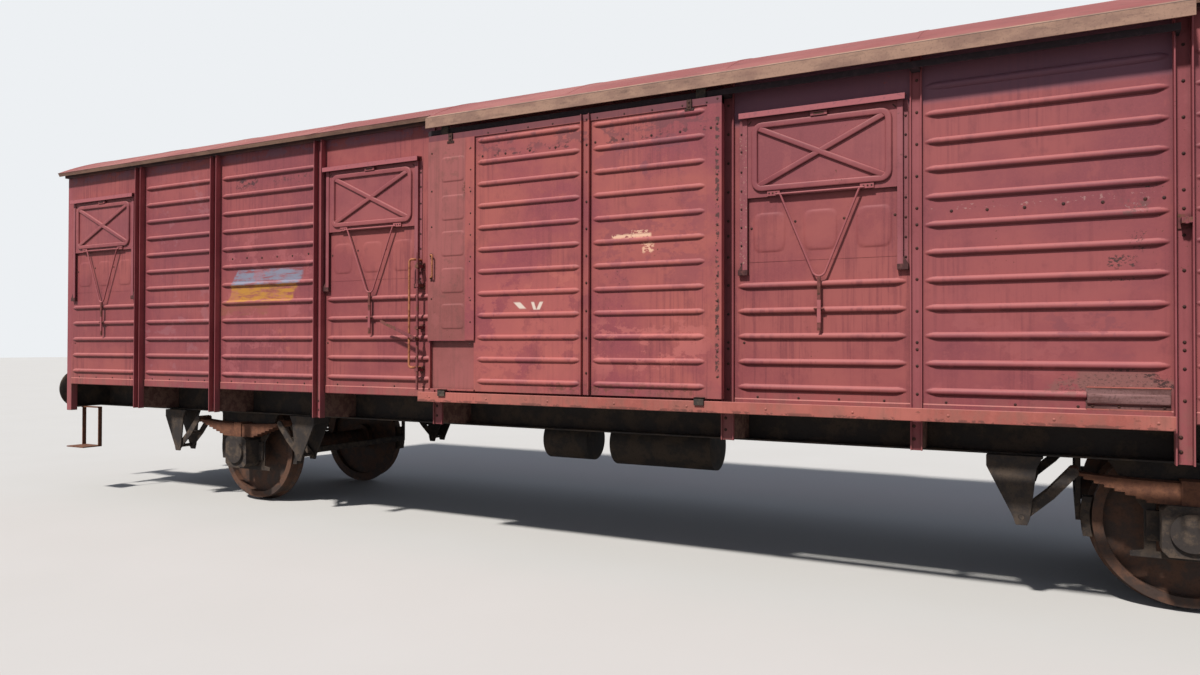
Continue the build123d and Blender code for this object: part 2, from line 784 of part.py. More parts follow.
with BuildPart() as hatch:
    plate_out = hatch_in + hatch_thickness
    add(slab((-hatch_half_width, hatch_half_width), (hatch_in, plate_out), (hatch_bottom_z, hatch_top_z)))
    for edge in (-hatch_half_width, hatch_half_width - hatch_runner):
        add(slab((edge, edge + hatch_runner), (wall_out + runner_clearance, hatch_in), (hatch_bottom_z, hatch_top_z)))
    # The pressed frame and its crossed bands
    with BuildSketch(near(plate_out)):
        with Locations((0, hatch_bottom_z + hatch_height / 2)):
            frame = Rectangle(2 * hatch_press_half, hatch_height - 2 * hatch_press_margin)
            chamfer(frame.vertices(), press_corner)
            Rectangle(
                2 * (hatch_press_half - press_band), hatch_height - 2 * (hatch_press_margin + press_band),
                mode=Mode.SUBTRACT,
            )
            for lean in (-press_cross_lean, press_cross_lean):
                Rectangle(press_cross_length, press_band, rotation=lean)
    extrude(amount=hatch_press_rise)
    # The vee and the tongue, joined to the hatch's lower edge
    vee_out = vee_in + vee_bar
    with BuildSketch(near(vee_in)):
        with BuildLine():
            FilletPolyline(
                (-vee_half_width, hatch_bottom_z + vee_lap),
                (0, vee_corner_z),
                (vee_half_width, hatch_bottom_z + vee_lap),
                radius=vee_corner_radius,
            )
            offset(amount=vee_bar / 2)
        make_face()
    extrude(amount=vee_bar)
    hinge_z = (hatch_bottom_z, hatch_bottom_z + hinge_height)
    add(slab((-hinge_half_length, hinge_half_length), (plate_out, vee_out), hinge_z))
    add(slab((-tongue_width / 2, tongue_width / 2), (vee_in, vee_out), (tongue_bottom_z, vee_apex_z)))
    pin_z = (tongue_pin_z - tongue_pin_height / 2, tongue_pin_z + tongue_pin_height / 2)
    add(slab((-tongue_pin_length / 2, tongue_pin_length / 2), (vee_in, vee_out), pin_z))
for side, turn in sides:
    for number, bay in enumerate(vent_bays, start=1):
        with BuildPart() as placed_hatch:
            with Locations(Location((0, 0, 0), (0, 0, turn)) * Location((bay.hatch_x, 0, 0))):
                add(hatch.part)
        placed_hatch.part.label = f"hatch_{side}_{number}"
        export_step(placed_hatch.part, f"parts/hatch_{side}_{number}.step")

with BuildPart() as hatch_guide:
    inner = hatch_half_width + runner_clearance
    lip_in = hatch_in + hatch_thickness + runner_clearance
    lip_out = lip_in + guide_lip_thickness
    for sign in (-1, 1):
        web = sorted((sign * inner, sign * (inner + guide_web)))
        flange = sorted((sign * (inner + guide_web), sign * (inner + guide_web + guide_flange)))
        lip = sorted((sign * (inner - guide_lip), sign * inner))
        foot = sorted((sign * (inner - guide_lip), sign * (inner + guide_web)))
        add(slab(web, (wall_out, lip_out), (guide_bottom_z, hatch_top_z)))
        add(slab(lip, (lip_in, lip_out), (guide_bottom_z, hatch_top_z)))
        add(slab(flange, (wall_out, wall_out + guide_flange_thickness), (guide_bottom_z, hatch_top_z)))
        add(slab(foot, (wall_out, lip_out), (guide_bottom_z, guide_bottom_z + stop_height)))
    # The drip strip above the hatch: an angle whose lip hangs down
    drip_bottom_z = hatch_top_z - drip_lap
    drip_top_z = drip_bottom_z + drip_height
    with BuildSketch(across(-hatch_half_width - drip_overhang)):
        with BuildLine():
            Polyline(
                (-wall_out, drip_top_z - sheet), (-drip_out + sheet, drip_top_z - drip_fall - sheet),
                (-drip_out + sheet, drip_bottom_z), (-drip_out, drip_bottom_z),
                (-drip_out, drip_top_z - drip_fall), (-wall_out, drip_top_z), close=True,
            )
        make_face()
    extrude(amount=2 * (hatch_half_width + drip_overhang))

# Door lock on the bay left of the doorway, and the catch that holds the open door
with BuildPart() as lock:
    lock_x = leaf_left_x - lock_inset
    rod_in = wall_out + lock_stand_off
    rod_out = rod_in + lock_rod
    add(slab((lock_x - lock_rod / 2, lock_x + lock_rod / 2), (rod_in, rod_out), (lock_bottom_z, lock_top_z)))
    for z in lock_keeps_z:
        keep = (lock_x - lock_keep_width / 2, lock_x + lock_keep_width / 2)
        add(slab(keep, (wall_out, rod_in), (z, z + lock_keep_height)))
    grab_x = lock_x - grab_offset
    grab_out = rod_out + grab_bar
    arm_x = (grab_x - grab_bar / 2, grab_x + grab_arm_right)
    for z in (grab_bottom_z, grab_top_z - grab_bar):
        add(slab(arm_x, (rod_out, grab_out), (z, z + grab_bar)))
        add(slab((arm_x[1] - grab_bar, arm_x[1]), (wall_out, grab_out), (z, z + grab_bar)))
    add(slab((arm_x[0], arm_x[0] + grab_bar), (rod_out, grab_out), (grab_bottom_z, grab_top_z)))
    lever_in = grab_out + lever_gap
    lever_out = lever_in + lever_thickness
    boss_right_x = lock_x + lock_boss / 2
    tip_x = boss_right_x - lever_reach
    tip_z = lever_z + lever_rise
    with BuildSketch(near(lever_in)):
        with BuildLine():
            Polyline(
                (boss_right_x, lever_z), (boss_right_x, lever_z + lever_height),
                (tip_x, tip_z + lever_tip_height), (tip_x, tip_z), close=True,
            )
        make_face()
    extrude(amount=lever_thickness)
    add(slab((lock_x - lock_boss / 2, boss_right_x), (rod_in, lever_out), (lever_z, lever_z + lever_height)))
    catch_x = (stop_post.x - catch_width / 4, stop_post.x + stop_post.width / 2 - sheet)
    add(slab(catch_x, (wall_out + sheet, wall_out + catch_out), (catch_z, catch_z + catch_height)))
with BuildPart() as door_locks:
    for side, turn in sides:
        add(lock.part, rotation=(0, 0, turn))
door_locks.part.label = "door_locks"
export_step(door_locks.part, "parts/door_locks.step")

# The guides' flanges are cut away around the lock's keeps
with BuildPart() as hatch_guides:
    for side, turn in sides:
        for bay in vent_bays:
            with Locations(Location((0, 0, 0), (0, 0, turn)) * Location((bay.hatch_x, 0, 0))):
                add(hatch_guide.part)
        add(lock.part, rotation=(0, 0, turn), mode=Mode.SUBTRACT)
hatch_guides.part.label = "hatch_guides"
export_step(hatch_guides.part, "parts/hatch_guides.step")

# Wheelsets

seat_end = wheel_back + hub_length
axle_profile = [
    (0, 0), (axle_radius, 0), (axle_radius, wheel_back - 2 * hub_recess),
    (wheel_seat_radius, wheel_back - 2 * hub_recess), (wheel_seat_radius, seat_end),
    (journal_radius, seat_end + hub_recess), (journal_radius, axle_half_length), (0, axle_half_length),
]
hub_start = wheel_back - hub_recess
web_y = wheel_back + wheel_width / 2 + hub_recess
rim_in_radius = wheel_radius - rim_thickness
web_half = web_thickness / 2
wheel_profile = [
    (wheel_seat_radius, hub_start), (hub_radius, hub_start), (hub_radius, web_y - web_half),
    (rim_in_radius, web_y - web_half - web_dish), (rim_in_radius, wheel_back),
    (wheel_radius + flange_depth, wheel_back), (wheel_radius + flange_depth, wheel_back + flange_tip),
    (wheel_radius, wheel_back + flange_root), (wheel_radius - tread_fall, wheel_back + wheel_width),
    (rim_in_radius, wheel_back + wheel_width), (rim_in_radius, web_y + web_half - web_dish),
    (hub_radius, web_y + web_half), (hub_radius, hub_start + hub_length),
    (wheel_seat_radius, hub_start + hub_length),
]
for (label, sign), x in zip(ends, axles_x):
    turned = Plane(origin=(x, 0, axle_z))
    turning_line = Axis((x, 0, axle_z), (0, 1, 0))
    with BuildPart() as axle:
        with BuildSketch(turned):
            with BuildLine():
                Polyline(*axle_profile, close=True)
            make_face()
        revolve(axis=turning_line)
        mirror(about=Plane.XZ)
    axle.part.label = f"axle_{label}"
    export_step(axle.part, f"parts/axle_{label}.step")
    with BuildPart() as wheels:
        with BuildSketch(turned):
            with BuildLine():
                Polyline(*wheel_profile, close=True)
            make_face()
        revolve(axis=turning_line)
        mirror(about=Plane.XZ)
    wheels.part.label = f"wheels_{label}"
    export_step(wheels.part, f"parts/wheels_{label}.step")

# Axleboxes, their guards, and the springs with links and brackets

with BuildPart() as axlebox:
    box_in = journal_centre - box_depth / 2 - 5
    with BuildSketch(near(box_in)):
        with Locations((0, axle_z)):
            body = Rectangle(2 * box_half_width, 2 * spring_seat_rise)
            chamfer(body.vertices(), box_corner)
    extrude(amount=box_depth)
    with BuildSketch(near(box_in + box_depth)):
        with Locations((0, axle_z)):
            Circle(box_cover_radius)
    extrude(amount=box_cover_depth)
    # Lugs inside and outside the guard's legs, which keep the box in line
    lug_z = (axle_z - box_lug_half_height, axle_z + box_lug_half_height)
    lug_x = (-box_lug_half_width, box_lug_half_width)
    outer_lug = sole_bar_web_y + guard_clearance
    add(slab(lug_x, (box_in, outer_lug + box_lug_thickness), lug_z))
    slot = (outer_lug - guard_thickness - 2 * guard_clearance, outer_lug)
    for sign in (-1, 1):
        low, high = sorted((sign * (guard_leg_in - 10), sign * box_lug_half_width))
        add(slab((low, high), slot, lug_z), mode=Mode.SUBTRACT)
    with BuildSketch(near(box_in)):
        with Locations((0, axle_z)):
            Circle(journal_radius + bearing_clearance)
    extrude(amount=axle_half_length - box_in + 10 * bearing_clearance, mode=Mode.SUBTRACT)
with BuildPart() as axleboxes:
    with Locations(*[at_corner(x, turn) for x, turn in corners]):
        add(axlebox.part)
axleboxes.part.label = "axleboxes"
export_step(axleboxes.part, "parts/axleboxes.step")

# Guards: a plate on the sole bar's web, with two legs and a stay across their feet
with BuildPart() as guard:
    guard_top_z = floor_bottom_z - 5 * steel
    leg_bottom_z = axle_z - spring_seat_rise
    stay_bottom_z = leg_bottom_z - 45
    with BuildSketch(near(sole_bar_web_y - guard_thickness)):
        with BuildLine():
            Polyline(
                (-guard_half_width, guard_top_z), (guard_half_width, guard_top_z),
                (guard_half_width, frame_bottom_z + steel),
                (guard_leg_out, axle_z + box_lug_half_height), (guard_leg_out, leg_bottom_z),
                (guard_stay_half, leg_bottom_z - 15), (guard_stay_half, stay_bottom_z),
                (-guard_stay_half, stay_bottom_z), (-guard_stay_half, leg_bottom_z - 15),
                (-guard_leg_out, leg_bottom_z), (-guard_leg_out, axle_z + box_lug_half_height),
                (-guard_half_width, frame_bottom_z + steel), close=True,
            )
        make_face()
        opening_bottom_z = leg_bottom_z - 5
        opening_top_z = spring_seat_z + 45
        with Locations((0, (opening_bottom_z + opening_top_z) / 2)):
            Rectangle(2 * guard_leg_in, opening_top_z - opening_bottom_z, mode=Mode.SUBTRACT)
    extrude(amount=guard_thickness)
with BuildPart() as axle_guards:
    with Locations(*[at_corner(x, turn) for x, turn in corners]):
        add(guard.part)
axle_guards.part.label = "axle_guards"
export_step(axle_guards.part, "parts/axle_guards.step")

# Springs: the longest leaf on top with an eye at each end, shorter leaves below, all in a buckle
with BuildPart() as spring:
    half_width = spring_leaf_width / 2
    with BuildSketch(near(journal_centre - half_width)):
        for index in range(spring_leaf_count):
            reach = spring_half_length * (spring_leaf_count - spring_leaf_step * index) / spring_leaf_count
            reach = reach - (0 if index else spring_eye_radius - 8)
            low_z = spring_seat_z + spring_depth - (index + 1) * spring_leaf_thickness
            lift = spring_camber * (reach / spring_half_length) ** 2
            with BuildLine():
                ThreePointArc((-reach, low_z + lift), (0, low_z), (reach, low_z + lift))
                Line((reach, low_z + lift), (reach, low_z + lift + spring_leaf_thickness))
                ThreePointArc(
                    (reach, low_z + lift + spring_leaf_thickness),
                    (0, low_z + spring_leaf_thickness),
                    (-reach, low_z + lift + spring_leaf_thickness),
                )
                Line((-reach, low_z + lift + spring_leaf_thickness), (-reach, low_z + lift))
            make_face()
        for sign in (-1, 1):
            with Locations((sign * spring_half_length, eye_z)):
                Circle(spring_eye_radius)
                RegularPolygon(shackle_pin_radius + bearing_clearance, pin_sides, mode=Mode.SUBTRACT)
    extrude(amount=spring_leaf_width)
    buckle_y = (journal_centre - half_width - buckle_wall, journal_centre + half_width + buckle_wall)
    buckle_z = (spring_seat_z, spring_seat_z + spring_depth + guard_thickness)
    add(slab((-buckle_half_length, buckle_half_length), buckle_y, buckle_z))
with BuildPart() as leaf_springs:
    with Locations(*[at_corner(x, turn) for x, turn in corners]):
        add(spring.part)
leaf_springs.part.label = "leaf_springs"
export_step(leaf_springs.part, "parts/leaf_springs.step")

# Double links from the spring's eyes, over a middle pin, down to the brackets' pins
middle_pin = ((spring_half_length + bracket_pin_x) / 2 + middle_pin_shift, (eye_z + bracket_pin_z) / 2)
pins = [(spring_half_length, eye_z), middle_pin, (bracket_pin_x, bracket_pin_z)]
link_in = spring_leaf_width / 2 + link_gap
cheek_in = link_in + link_thickness + cheek_gap
cheek_out = cheek_in + link_thickness
both_ways = [at_corner(x, turn) for x, turn in corners]
both_ways += [place * Location((0, -2 * journal_centre, 0), (0, 0, 180)) for place in both_ways]
with BuildPart() as link:
    for (x0, z0), (x1, z1) in zip(pins, pins[1:]):
        length = sqrt((x1 - x0) ** 2 + (z1 - z0) ** 2)
        along = Plane(
            origin=((x0 + x1) / 2, -journal_centre, (z0 + z1) / 2),
            x_dir=(x1 - x0, 0, z1 - z0), z_dir=(0, -1, 0),
        )
        for start in (-link_in - link_thickness, link_in):
            with BuildSketch(along.offset(start)):
                plate = Rectangle(length + link_width, link_width)
                chamfer(plate.vertices(), link_width / 3)
            extrude(amount=link_thickness)
    with BuildSketch(near(journal_centre - link_in)):
        with Locations(*pins):
            RegularPolygon(shackle_pin_radius, pin_sides)
    extrude(amount=2 * link_in)
    for start in (-cheek_out, link_in + link_thickness):
        with BuildSketch(near(journal_centre + start)):
            with Locations(pins[-1]):
                RegularPolygon(shackle_pin_radius, pin_sides)
        extrude(amount=cheek_out - link_in - link_thickness)
with BuildPart() as spring_links:
    with Locations(*both_ways):
        add(link.part)
spring_links.part.label = "spring_links"
export_step(spring_links.part, "parts/spring_links.step")

with BuildPart() as bracket:
    toe = bracket_half_width - link_width / 4
    for start in (-cheek_out, cheek_in):
        with BuildSketch(near(journal_centre + start)):
            with BuildLine():
                Polyline(
                    (bracket_left_x, frame_bottom_z), (bracket_right_x, frame_bottom_z),
                    (bracket_right_x, frame_bottom_z - bracket_edge),
                    (bracket_pin_x + bracket_half_width, bracket_pin_z),
                    (bracket_pin_x + toe, bracket_pin_z - bracket_half_width),
                    (bracket_pin_x - toe, bracket_pin_z - bracket_half_width),
                    (bracket_pin_x - bracket_half_width, bracket_pin_z),
                    (bracket_left_x + bracket_edge / 2, frame_bottom_z - bracket_edge), close=True,
                )
            make_face()
            with Locations((bracket_pin_x, bracket_pin_z)):
                RegularPolygon(shackle_pin_radius + bearing_clearance, pin_sides, mode=Mode.SUBTRACT)
        extrude(amount=link_thickness)
    rear_y = (journal_centre - cheek_in, journal_centre + cheek_in)
    rear_x = (bracket_right_x - 2 * steel, bracket_right_x)
    add(slab(rear_x, rear_y, (frame_bottom_z - bracket_edge, frame_bottom_z)))
    foot_y = (journal_centre - cheek_in, sole_bar_out)
    add(slab((bracket_left_x, bracket_right_x), foot_y, (frame_bottom_z - link_thickness, frame_bottom_z)))
with BuildPart() as spring_brackets:
    with Locations(*both_ways):
        add(bracket.part)
spring_brackets.part.label = "spring_brackets"
export_step(spring_brackets.part, "parts/spring_brackets.step")

# Buffers and draw gear

with BuildPart() as buffer:
    with BuildSketch(Plane.YZ):
        Rectangle(buffer_base, buffer_base)
    extrude(amount=buffer_base_thickness)
    head_back = buffer_length - 3 * buffer_head_thickness
    with BuildSketch(Plane.XY):
        with BuildLine():
            Polyline(
                (buffer_base_thickness, 0), (buffer_base_thickness, buffer_case_radius),
                (buffer_case_length, buffer_case_radius - 12), (buffer_case_length, buffer_plunger_radius),
                (head_back, buffer_plunger_radius), (buffer_length - buffer_head_thickness, buffer_head_radius),
                (buffer_length - buffer_head_thickness / 3, buffer_head_radius),
                (buffer_length, buffer_head_radius - buffer_head_thickness), (buffer_length, 0), close=True,
            )
        make_face()
    revolve(axis=Axis.X)
for label, sign in ends:
    with BuildPart() as buffers:
        for y in (-buffer_half_spacing, buffer_half_spacing):
            with Locations(Location((sign * half_length, y, buffer_z), (0, 0, 0 if sign > 0 else 180))):
                add(buffer.part)
    buffers.part.label = f"buffers_{label}"
    export_step(buffers.part, f"parts/buffers_{label}.step")

# The hook's outline starts at its shank and goes over the point, down the throat's outside and back
hook_outline = [
    (hook_plate_thickness, -40), (hook_plate_thickness, 40), (190, 38), (246, 20), (276, 34), (296, 74),
    (322, 104), (352, 92), (352, 10), (300, -70), (236, -86), (180, -46),
]
with BuildPart() as draw_hook:
    with BuildSketch(Plane.YZ):
        Rectangle(hook_plate_width, hook_plate_height)
    extrude(amount=hook_plate_thickness)
    with BuildSketch(Plane.XZ.offset(-hook_thickness / 2)):
        with BuildLine():
            Polyline(*hook_outline, close=True)
        make_face()
        with Locations((262, -34)):
            Circle(hook_eye_radius, mode=Mode.SUBTRACT)
    extrude(amount=hook_thickness)
for label, sign in ends:
    with BuildPart() as draw_gear:
        with Locations(Location((sign * half_length, 0, hook_z), (0, 0, 0 if sign > 0 else 180))):
            add(draw_hook.part)
    draw_gear.part.label = f"draw_gear_{label}"
    export_step(draw_gear.part, f"parts/draw_gear_{label}.step")

# Brake gear: shoes on hangers at both sides of each wheel, joined by a beam
shoe_in_radius = wheel_radius + shoe_gap
shoe_y = wheel_back + shoe_offset
hanger_x = shoe_in_radius + shoe_thickness + brake_hanger / 2 - 3
with BuildPart() as brake:
    for y in (shoe_y, -shoe_y - shoe_width):
        with BuildSketch(Plane.XZ.offset(-y - shoe_width)):
            Circle(shoe_in_radius + shoe_thickness)
            Circle(shoe_in_radius, mode=Mode.SUBTRACT)
            with Locations((shoe_in_radius + shoe_thickness / 2, 0)):
                Rectangle(3 * shoe_thickness, shoe_height, mode=Mode.INTERSECT)
        extrude(amount=shoe_width)
        with BuildSketch(Plane.XY.offset(-brake_beam / 2)):
            with Locations((hanger_x, y + shoe_width / 2)):
                Rectangle(brake_hanger, brake_hanger)
        extrude(amount=bearer_bottom_z - axle_z + brake_beam / 2)
    with BuildSketch(Plane.XZ.offset(-shoe_y - shoe_width / 2)):
        with Locations((hanger_x, 0)):
            Rectangle(brake_hanger, brake_beam)
    extrude(amount=2 * shoe_y + shoe_width)
with BuildPart() as brake_rigging:
    for x in axles_x:
        with Locations(Location((x, 0, axle_z)), Location((x, 0, axle_z), (0, 0, 180))):
            add(brake.part)
brake_rigging.part.label = "brake_rigging"
export_step(brake_rigging.part, "parts/brake_rigging.step")

# Brake cylinder and air reservoir, strapped under the centre sills: centre x, radius, length
Tank = namedtuple("Tank", "x radius length")
tanks = [Tank(-700, 180, 460), Tank(250, 200, 950)]
with BuildPart() as brake_cylinder:
    for tank in tanks:
        with BuildSketch(across(tank.x - tank.length / 2)):
            with Locations((0, sill_bottom_z - tank_gap - tanks[1].radius)):
                Circle(tank.radius)
        extrude(amount=tank.length)
        for strap_x in (tank.x - tank.length / 4, tank.x + tank.length / 4):
            with BuildSketch(across(strap_x - strap_width / 2)):
                with Locations((0, sill_bottom_z - strap_height / 2)):
                    Rectangle(2 * centre_sill_y + centre_sill_width, strap_height)
            extrude(amount=strap_width)
brake_cylinder.part.label = "brake_cylinder"
export_step(brake_cylinder.part, "parts/brake_cylinder.step")

# Steps at the four corners: two straps from the headstock's end, and a tread
with BuildPart() as step:
    strap_out = step_in + step_strap_depth
    for sign in (-1, 1):
        low, high = sorted((sign * (step_half_width - step_strap), sign * step_half_width))
        add(slab((low, high), (step_in, strap_out), (step_z, frame_bottom_z)))
    span = (-step_half_width, step_half_width)
    add(slab(span, (step_in, step_tread_out), (step_z, step_z + step_strap)))
    add(slab(span, (step_in, strap_out + step_strap), (frame_bottom_z - step_strap, frame_bottom_z)))
with BuildPart() as steps:
    for x in (-half_length + step_from_end, half_length - step_from_end):
        for side, turn in sides:
            with Locations(at_corner(x, turn)):
                add(step.part)
steps.part.label = "steps"
export_step(steps.part, "parts/steps.step")
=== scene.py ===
"""Looks of a long covered goods wagon on two axles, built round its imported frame.

Everything is in metres in the wagon's own frame: +X along the wagon, +Z up, the near side facing -Y,
and z = 0 at the lowest points of the wheel flanges. The far side is the near side turned half round.
"""

import logging
import math
import random
from dataclasses import dataclass, field, replace
from enum import Enum
from typing import Iterable, Optional, Sequence

import bmesh
import bpy
from mathutils import Matrix, Vector, noise


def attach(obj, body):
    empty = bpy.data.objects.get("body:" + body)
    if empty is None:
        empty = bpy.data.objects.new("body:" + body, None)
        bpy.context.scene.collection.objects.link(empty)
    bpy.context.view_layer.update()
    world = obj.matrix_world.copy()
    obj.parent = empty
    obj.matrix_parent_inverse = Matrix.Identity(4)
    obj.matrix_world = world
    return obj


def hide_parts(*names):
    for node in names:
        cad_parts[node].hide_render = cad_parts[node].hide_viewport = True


Point = tuple[float, float, float]
Flat = tuple[float, float]
log = logging.getLogger("wagon")

EVEN: Point = (1.0, 1.0, 1.0)
OUT = Vector((0.0, -1.0, 0.0))

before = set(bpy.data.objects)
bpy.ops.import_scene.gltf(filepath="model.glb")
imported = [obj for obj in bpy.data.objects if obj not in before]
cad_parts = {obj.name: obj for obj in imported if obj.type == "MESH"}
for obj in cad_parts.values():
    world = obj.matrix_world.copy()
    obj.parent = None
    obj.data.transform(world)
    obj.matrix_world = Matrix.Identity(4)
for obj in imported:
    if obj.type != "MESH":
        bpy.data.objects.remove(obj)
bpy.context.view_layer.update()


class Side(Enum):
    """The two long sides; the far one is the near one turned half round about Z."""

    NEAR = "near"
    FAR = "far"

    def turn(self, points: Iterable[Point]) -> list[Point]:
        """Points of the near side, moved to this side.

        Args:
            points: places on the near side.

        Returns:
            The same places on this side.
        """
        sign = 1.0 if self is Side.NEAR else -1.0
        return [(sign * x, sign * y, z) for x, y, z in points]


class Corner(Enum):
    """How a piece shades: smooth up to this angle between two faces, in degrees, and sharp beyond it."""

    CRISP = 35.0
    FLAT = 0.0


def linear(code: str) -> tuple[float, float, float, float]:
    """Turn an sRGB hex value into the linear colour that shaders take.

    Args:
        code: six hex digits, with or without a leading #.

    Returns:
        Linear red, green, blue and an alpha of 1.
    """
    digits = code.lstrip("#")
    channels = [int(digits[start:start + 2], 16) / 255.0 for start in (0, 2, 4)]
    return tuple(c / 12.92 if c <= 0.04045 else ((c + 0.055) / 1.055) ** 2.4 for c in channels) + (1.0,)


def smooth(value: float) -> float:
    """The smoothstep of a value held between 0 and 1."""
    held = min(1.0, max(0.0, value))
    return held * held * (3.0 - 2.0 * held)


# Materials


def add_node(
    tree: bpy.types.NodeTree,
    kind: str,
    settings: Optional[dict] = None,
    inputs: Optional[dict] = None,
) -> bpy.types.Node:
    """Add one node, set its properties, and set or link its inputs.

    Args:
        tree: the node tree that gets the node.
        kind: the node's type, such as ShaderNodeMath.
        settings: properties of the node by name.
        inputs: input sockets by name or number; a value is set, an output socket is linked.

    Returns:
        The new node.
    """
    node = tree.nodes.new(kind)
    for name, value in (settings or {}).items():
        setattr(node, name, value)
    for name, value in (inputs or {}).items():
        socket = node.inputs[name]
        if isinstance(value, bpy.types.NodeSocket):
            tree.links.new(value, socket)
        else:
            socket.default_value = value
    return node


@dataclass
class Surface:
    """A material under construction: its tree, and the coordinates that every pattern shares."""

    name: str
    material: bpy.types.Material = field(init=False)
    tree: bpy.types.NodeTree = field(init=False)
    place: bpy.types.NodeSocket = field(init=False)

    def __post_init__(self) -> None:
        """Start an empty material that reads object coordinates, so a pattern moves with its piece."""
        self.material = bpy.data.materials.new(self.name)
        self.material.use_nodes = True
        self.tree = self.material.node_tree
        self.tree.nodes.clear()
        self.place = add_node(self.tree, "ShaderNodeTexCoord").outputs["Object"]

    def grain(self, per_metre: float, stretch: Point, detail: float, rough: float,
              shift: float) -> bpy.types.NodeSocket:
        """A noise pattern in the piece's own space.

        Args:
            per_metre: how many features fit in one metre.
            stretch: scale along x, y and z; below 1 draws the pattern out.
            detail: octaves.
            rough: how strong the finer octaves are.
            shift: an offset that makes this pattern differ from the others.

        Returns:
            The pattern's value, about 0.5 on average.
        """
        mapping = add_node(self.tree, "ShaderNodeMapping", None, {
            "Vector": self.place, "Scale": stretch, "Location": (shift, shift * 0.7, shift * 1.3)})
        pattern = add_node(self.tree, "ShaderNodeTexNoise", None, {
            "Vector": mapping.outputs[0], "Scale": per_metre, "Detail": detail, "Roughness": rough})
        return pattern.outputs["Fac"]

    def band(self, value: bpy.types.NodeSocket, low: float, high: float) -> bpy.types.NodeSocket:
        """Rise smoothly from 0 at low to 1 at high; low may be the larger of the two.

        Args:
            value: the socket to read.
            low: where the result is 0.
            high: where the result is 1.

        Returns:
            The result socket.
        """
        falling = low > high
        node = add_node(self.tree, "ShaderNodeMapRange", {"interpolation_type": "SMOOTHSTEP"}, {
            "Value": value, "From Min": min(low, high), "From Max": max(low, high),
            "To Min": 1.0 if falling else 0.0, "To Max": 0.0 if falling else 1.0})
        return node.outputs[0]

    def math(self, operation: str, first: object, second: object = 0.0) -> bpy.types.NodeSocket:
        """One arithmetic step between sockets or numbers."""
        node = add_node(self.tree, "ShaderNodeMath", {"operation": operation}, {0: first, 1: second})
        return node.outputs[0]

    def stir(self, base: object, pattern: object, reach: float) -> bpy.types.NodeSocket:
        """Move a value up and down by a pattern that is about 0.5 on average, by at most half the reach."""
        return self.math("ADD", base, self.math("MULTIPLY", self.math("SUBTRACT", pattern, 0.5), reach))

    def blend(self, share: object, under: object, over: object) -> bpy.types.NodeSocket:
        """Lay one colour over another.

        Args:
            share: how much of the upper colour shows.
            under: the lower colour.
            over: the upper colour.

        Returns:
            The mixed colour.
        """
        node = add_node(self.tree, "ShaderNodeMix", {"data_type": "RGBA"}, {0: share, 6: under, 7: over})
        return node.outputs[2]

    def tint(self, color: object, value: object, edge: Flat, share: float, code: str) -> bpy.types.NodeSocket:
        """Lay a plain colour over another where a value runs past an edge.

        Args:
            color: the lower colour.
            value: the socket to read.
            edge: the value where the plain colour starts, and the one where it is full.
            share: how much of the plain colour shows there.
            code: the plain colour, as sRGB hex.

        Returns:
            The mixed colour.
        """
        return self.blend(self.math("MULTIPLY", self.band(value, *edge), share), color, linear(code))

    def corner_dirt_and_shade(self, color: object, reach: float, edge: Flat, share: float, code: str) -> bpy.types.NodeSocket:
        """Lay a colour over another in inner corners, as tint does: dirt, and painted shade where faces close
        in.

        Args:
            color: the lower colour.
            reach: how far away, in metres, another face still makes a corner.
            edge: the openness where the colour starts, and the one where it is full.
            share: how much of that colour shows there.
            code: the colour, as sRGB hex.

        Returns:
            The mixed colour.
        """
        crevice = add_node(self.tree, "ShaderNodeAmbientOcclusion", {"samples": 6}, {"Distance": reach})
        return self.tint(color, crevice.outputs["AO"], edge, share, code)

    def axes(self) -> list[bpy.types.NodeSocket]:
        """The x, y and z of the piece's own coordinates."""
        return list(add_node(self.tree, "ShaderNodeSeparateXYZ", None, {0: self.place}).outputs)

    def between(self, value: object, span: Flat, soft: Flat) -> bpy.types.NodeSocket:
        """1 between two values and 0 outside, each edge as soft as stated.

        Args:
            value: the socket to read.
            span: the two values.
            soft: half the width of the lower and of the upper edge.

        Returns:
            The mask.
        """
        rise = self.band(value, span[0] - soft[0], span[0] + soft[0])
        fall = self.band(value, span[1] + soft[1], span[1] - soft[1])
        return self.math("MULTIPLY", rise, fall)

    def near(self) -> bpy.types.NodeSocket:
        """1 on the near side and 0 elsewhere."""
        return self.band(self.axes()[1], -1.0, -1.2)

    def inside(self, x_range: Flat, z_range: Flat, soft: float, lean: float) -> bpy.types.NodeSocket:
        """1 inside an upright rectangle of the near side and 0 outside, with soft edges.

        Args:
            x_range: the rectangle's left and right edges.
            z_range: its lower and upper edges.
            soft: the width of its edges.
            lean: how far its sides lean along x for each metre of height.

        Returns:
            The mask.
        """
        x, _, z = self.axes()
        if lean:
            x = self.slant(x, z, sum(z_range) / 2.0, lean)
        share = self.near()
        for value, span in ((x, x_range), (z, z_range)):
            share = self.math("MULTIPLY", share, self.between(value, span, (soft, soft)))
        return share

    def slant(self, x: object, z: object, foot_z: float, lean: float) -> bpy.types.NodeSocket:
        """The x at a given height of the leaning line through a place; lean is its run for each metre up."""
        return self.math("SUBTRACT", x, self.math("MULTIPLY", self.math("SUBTRACT", z, foot_z), lean))

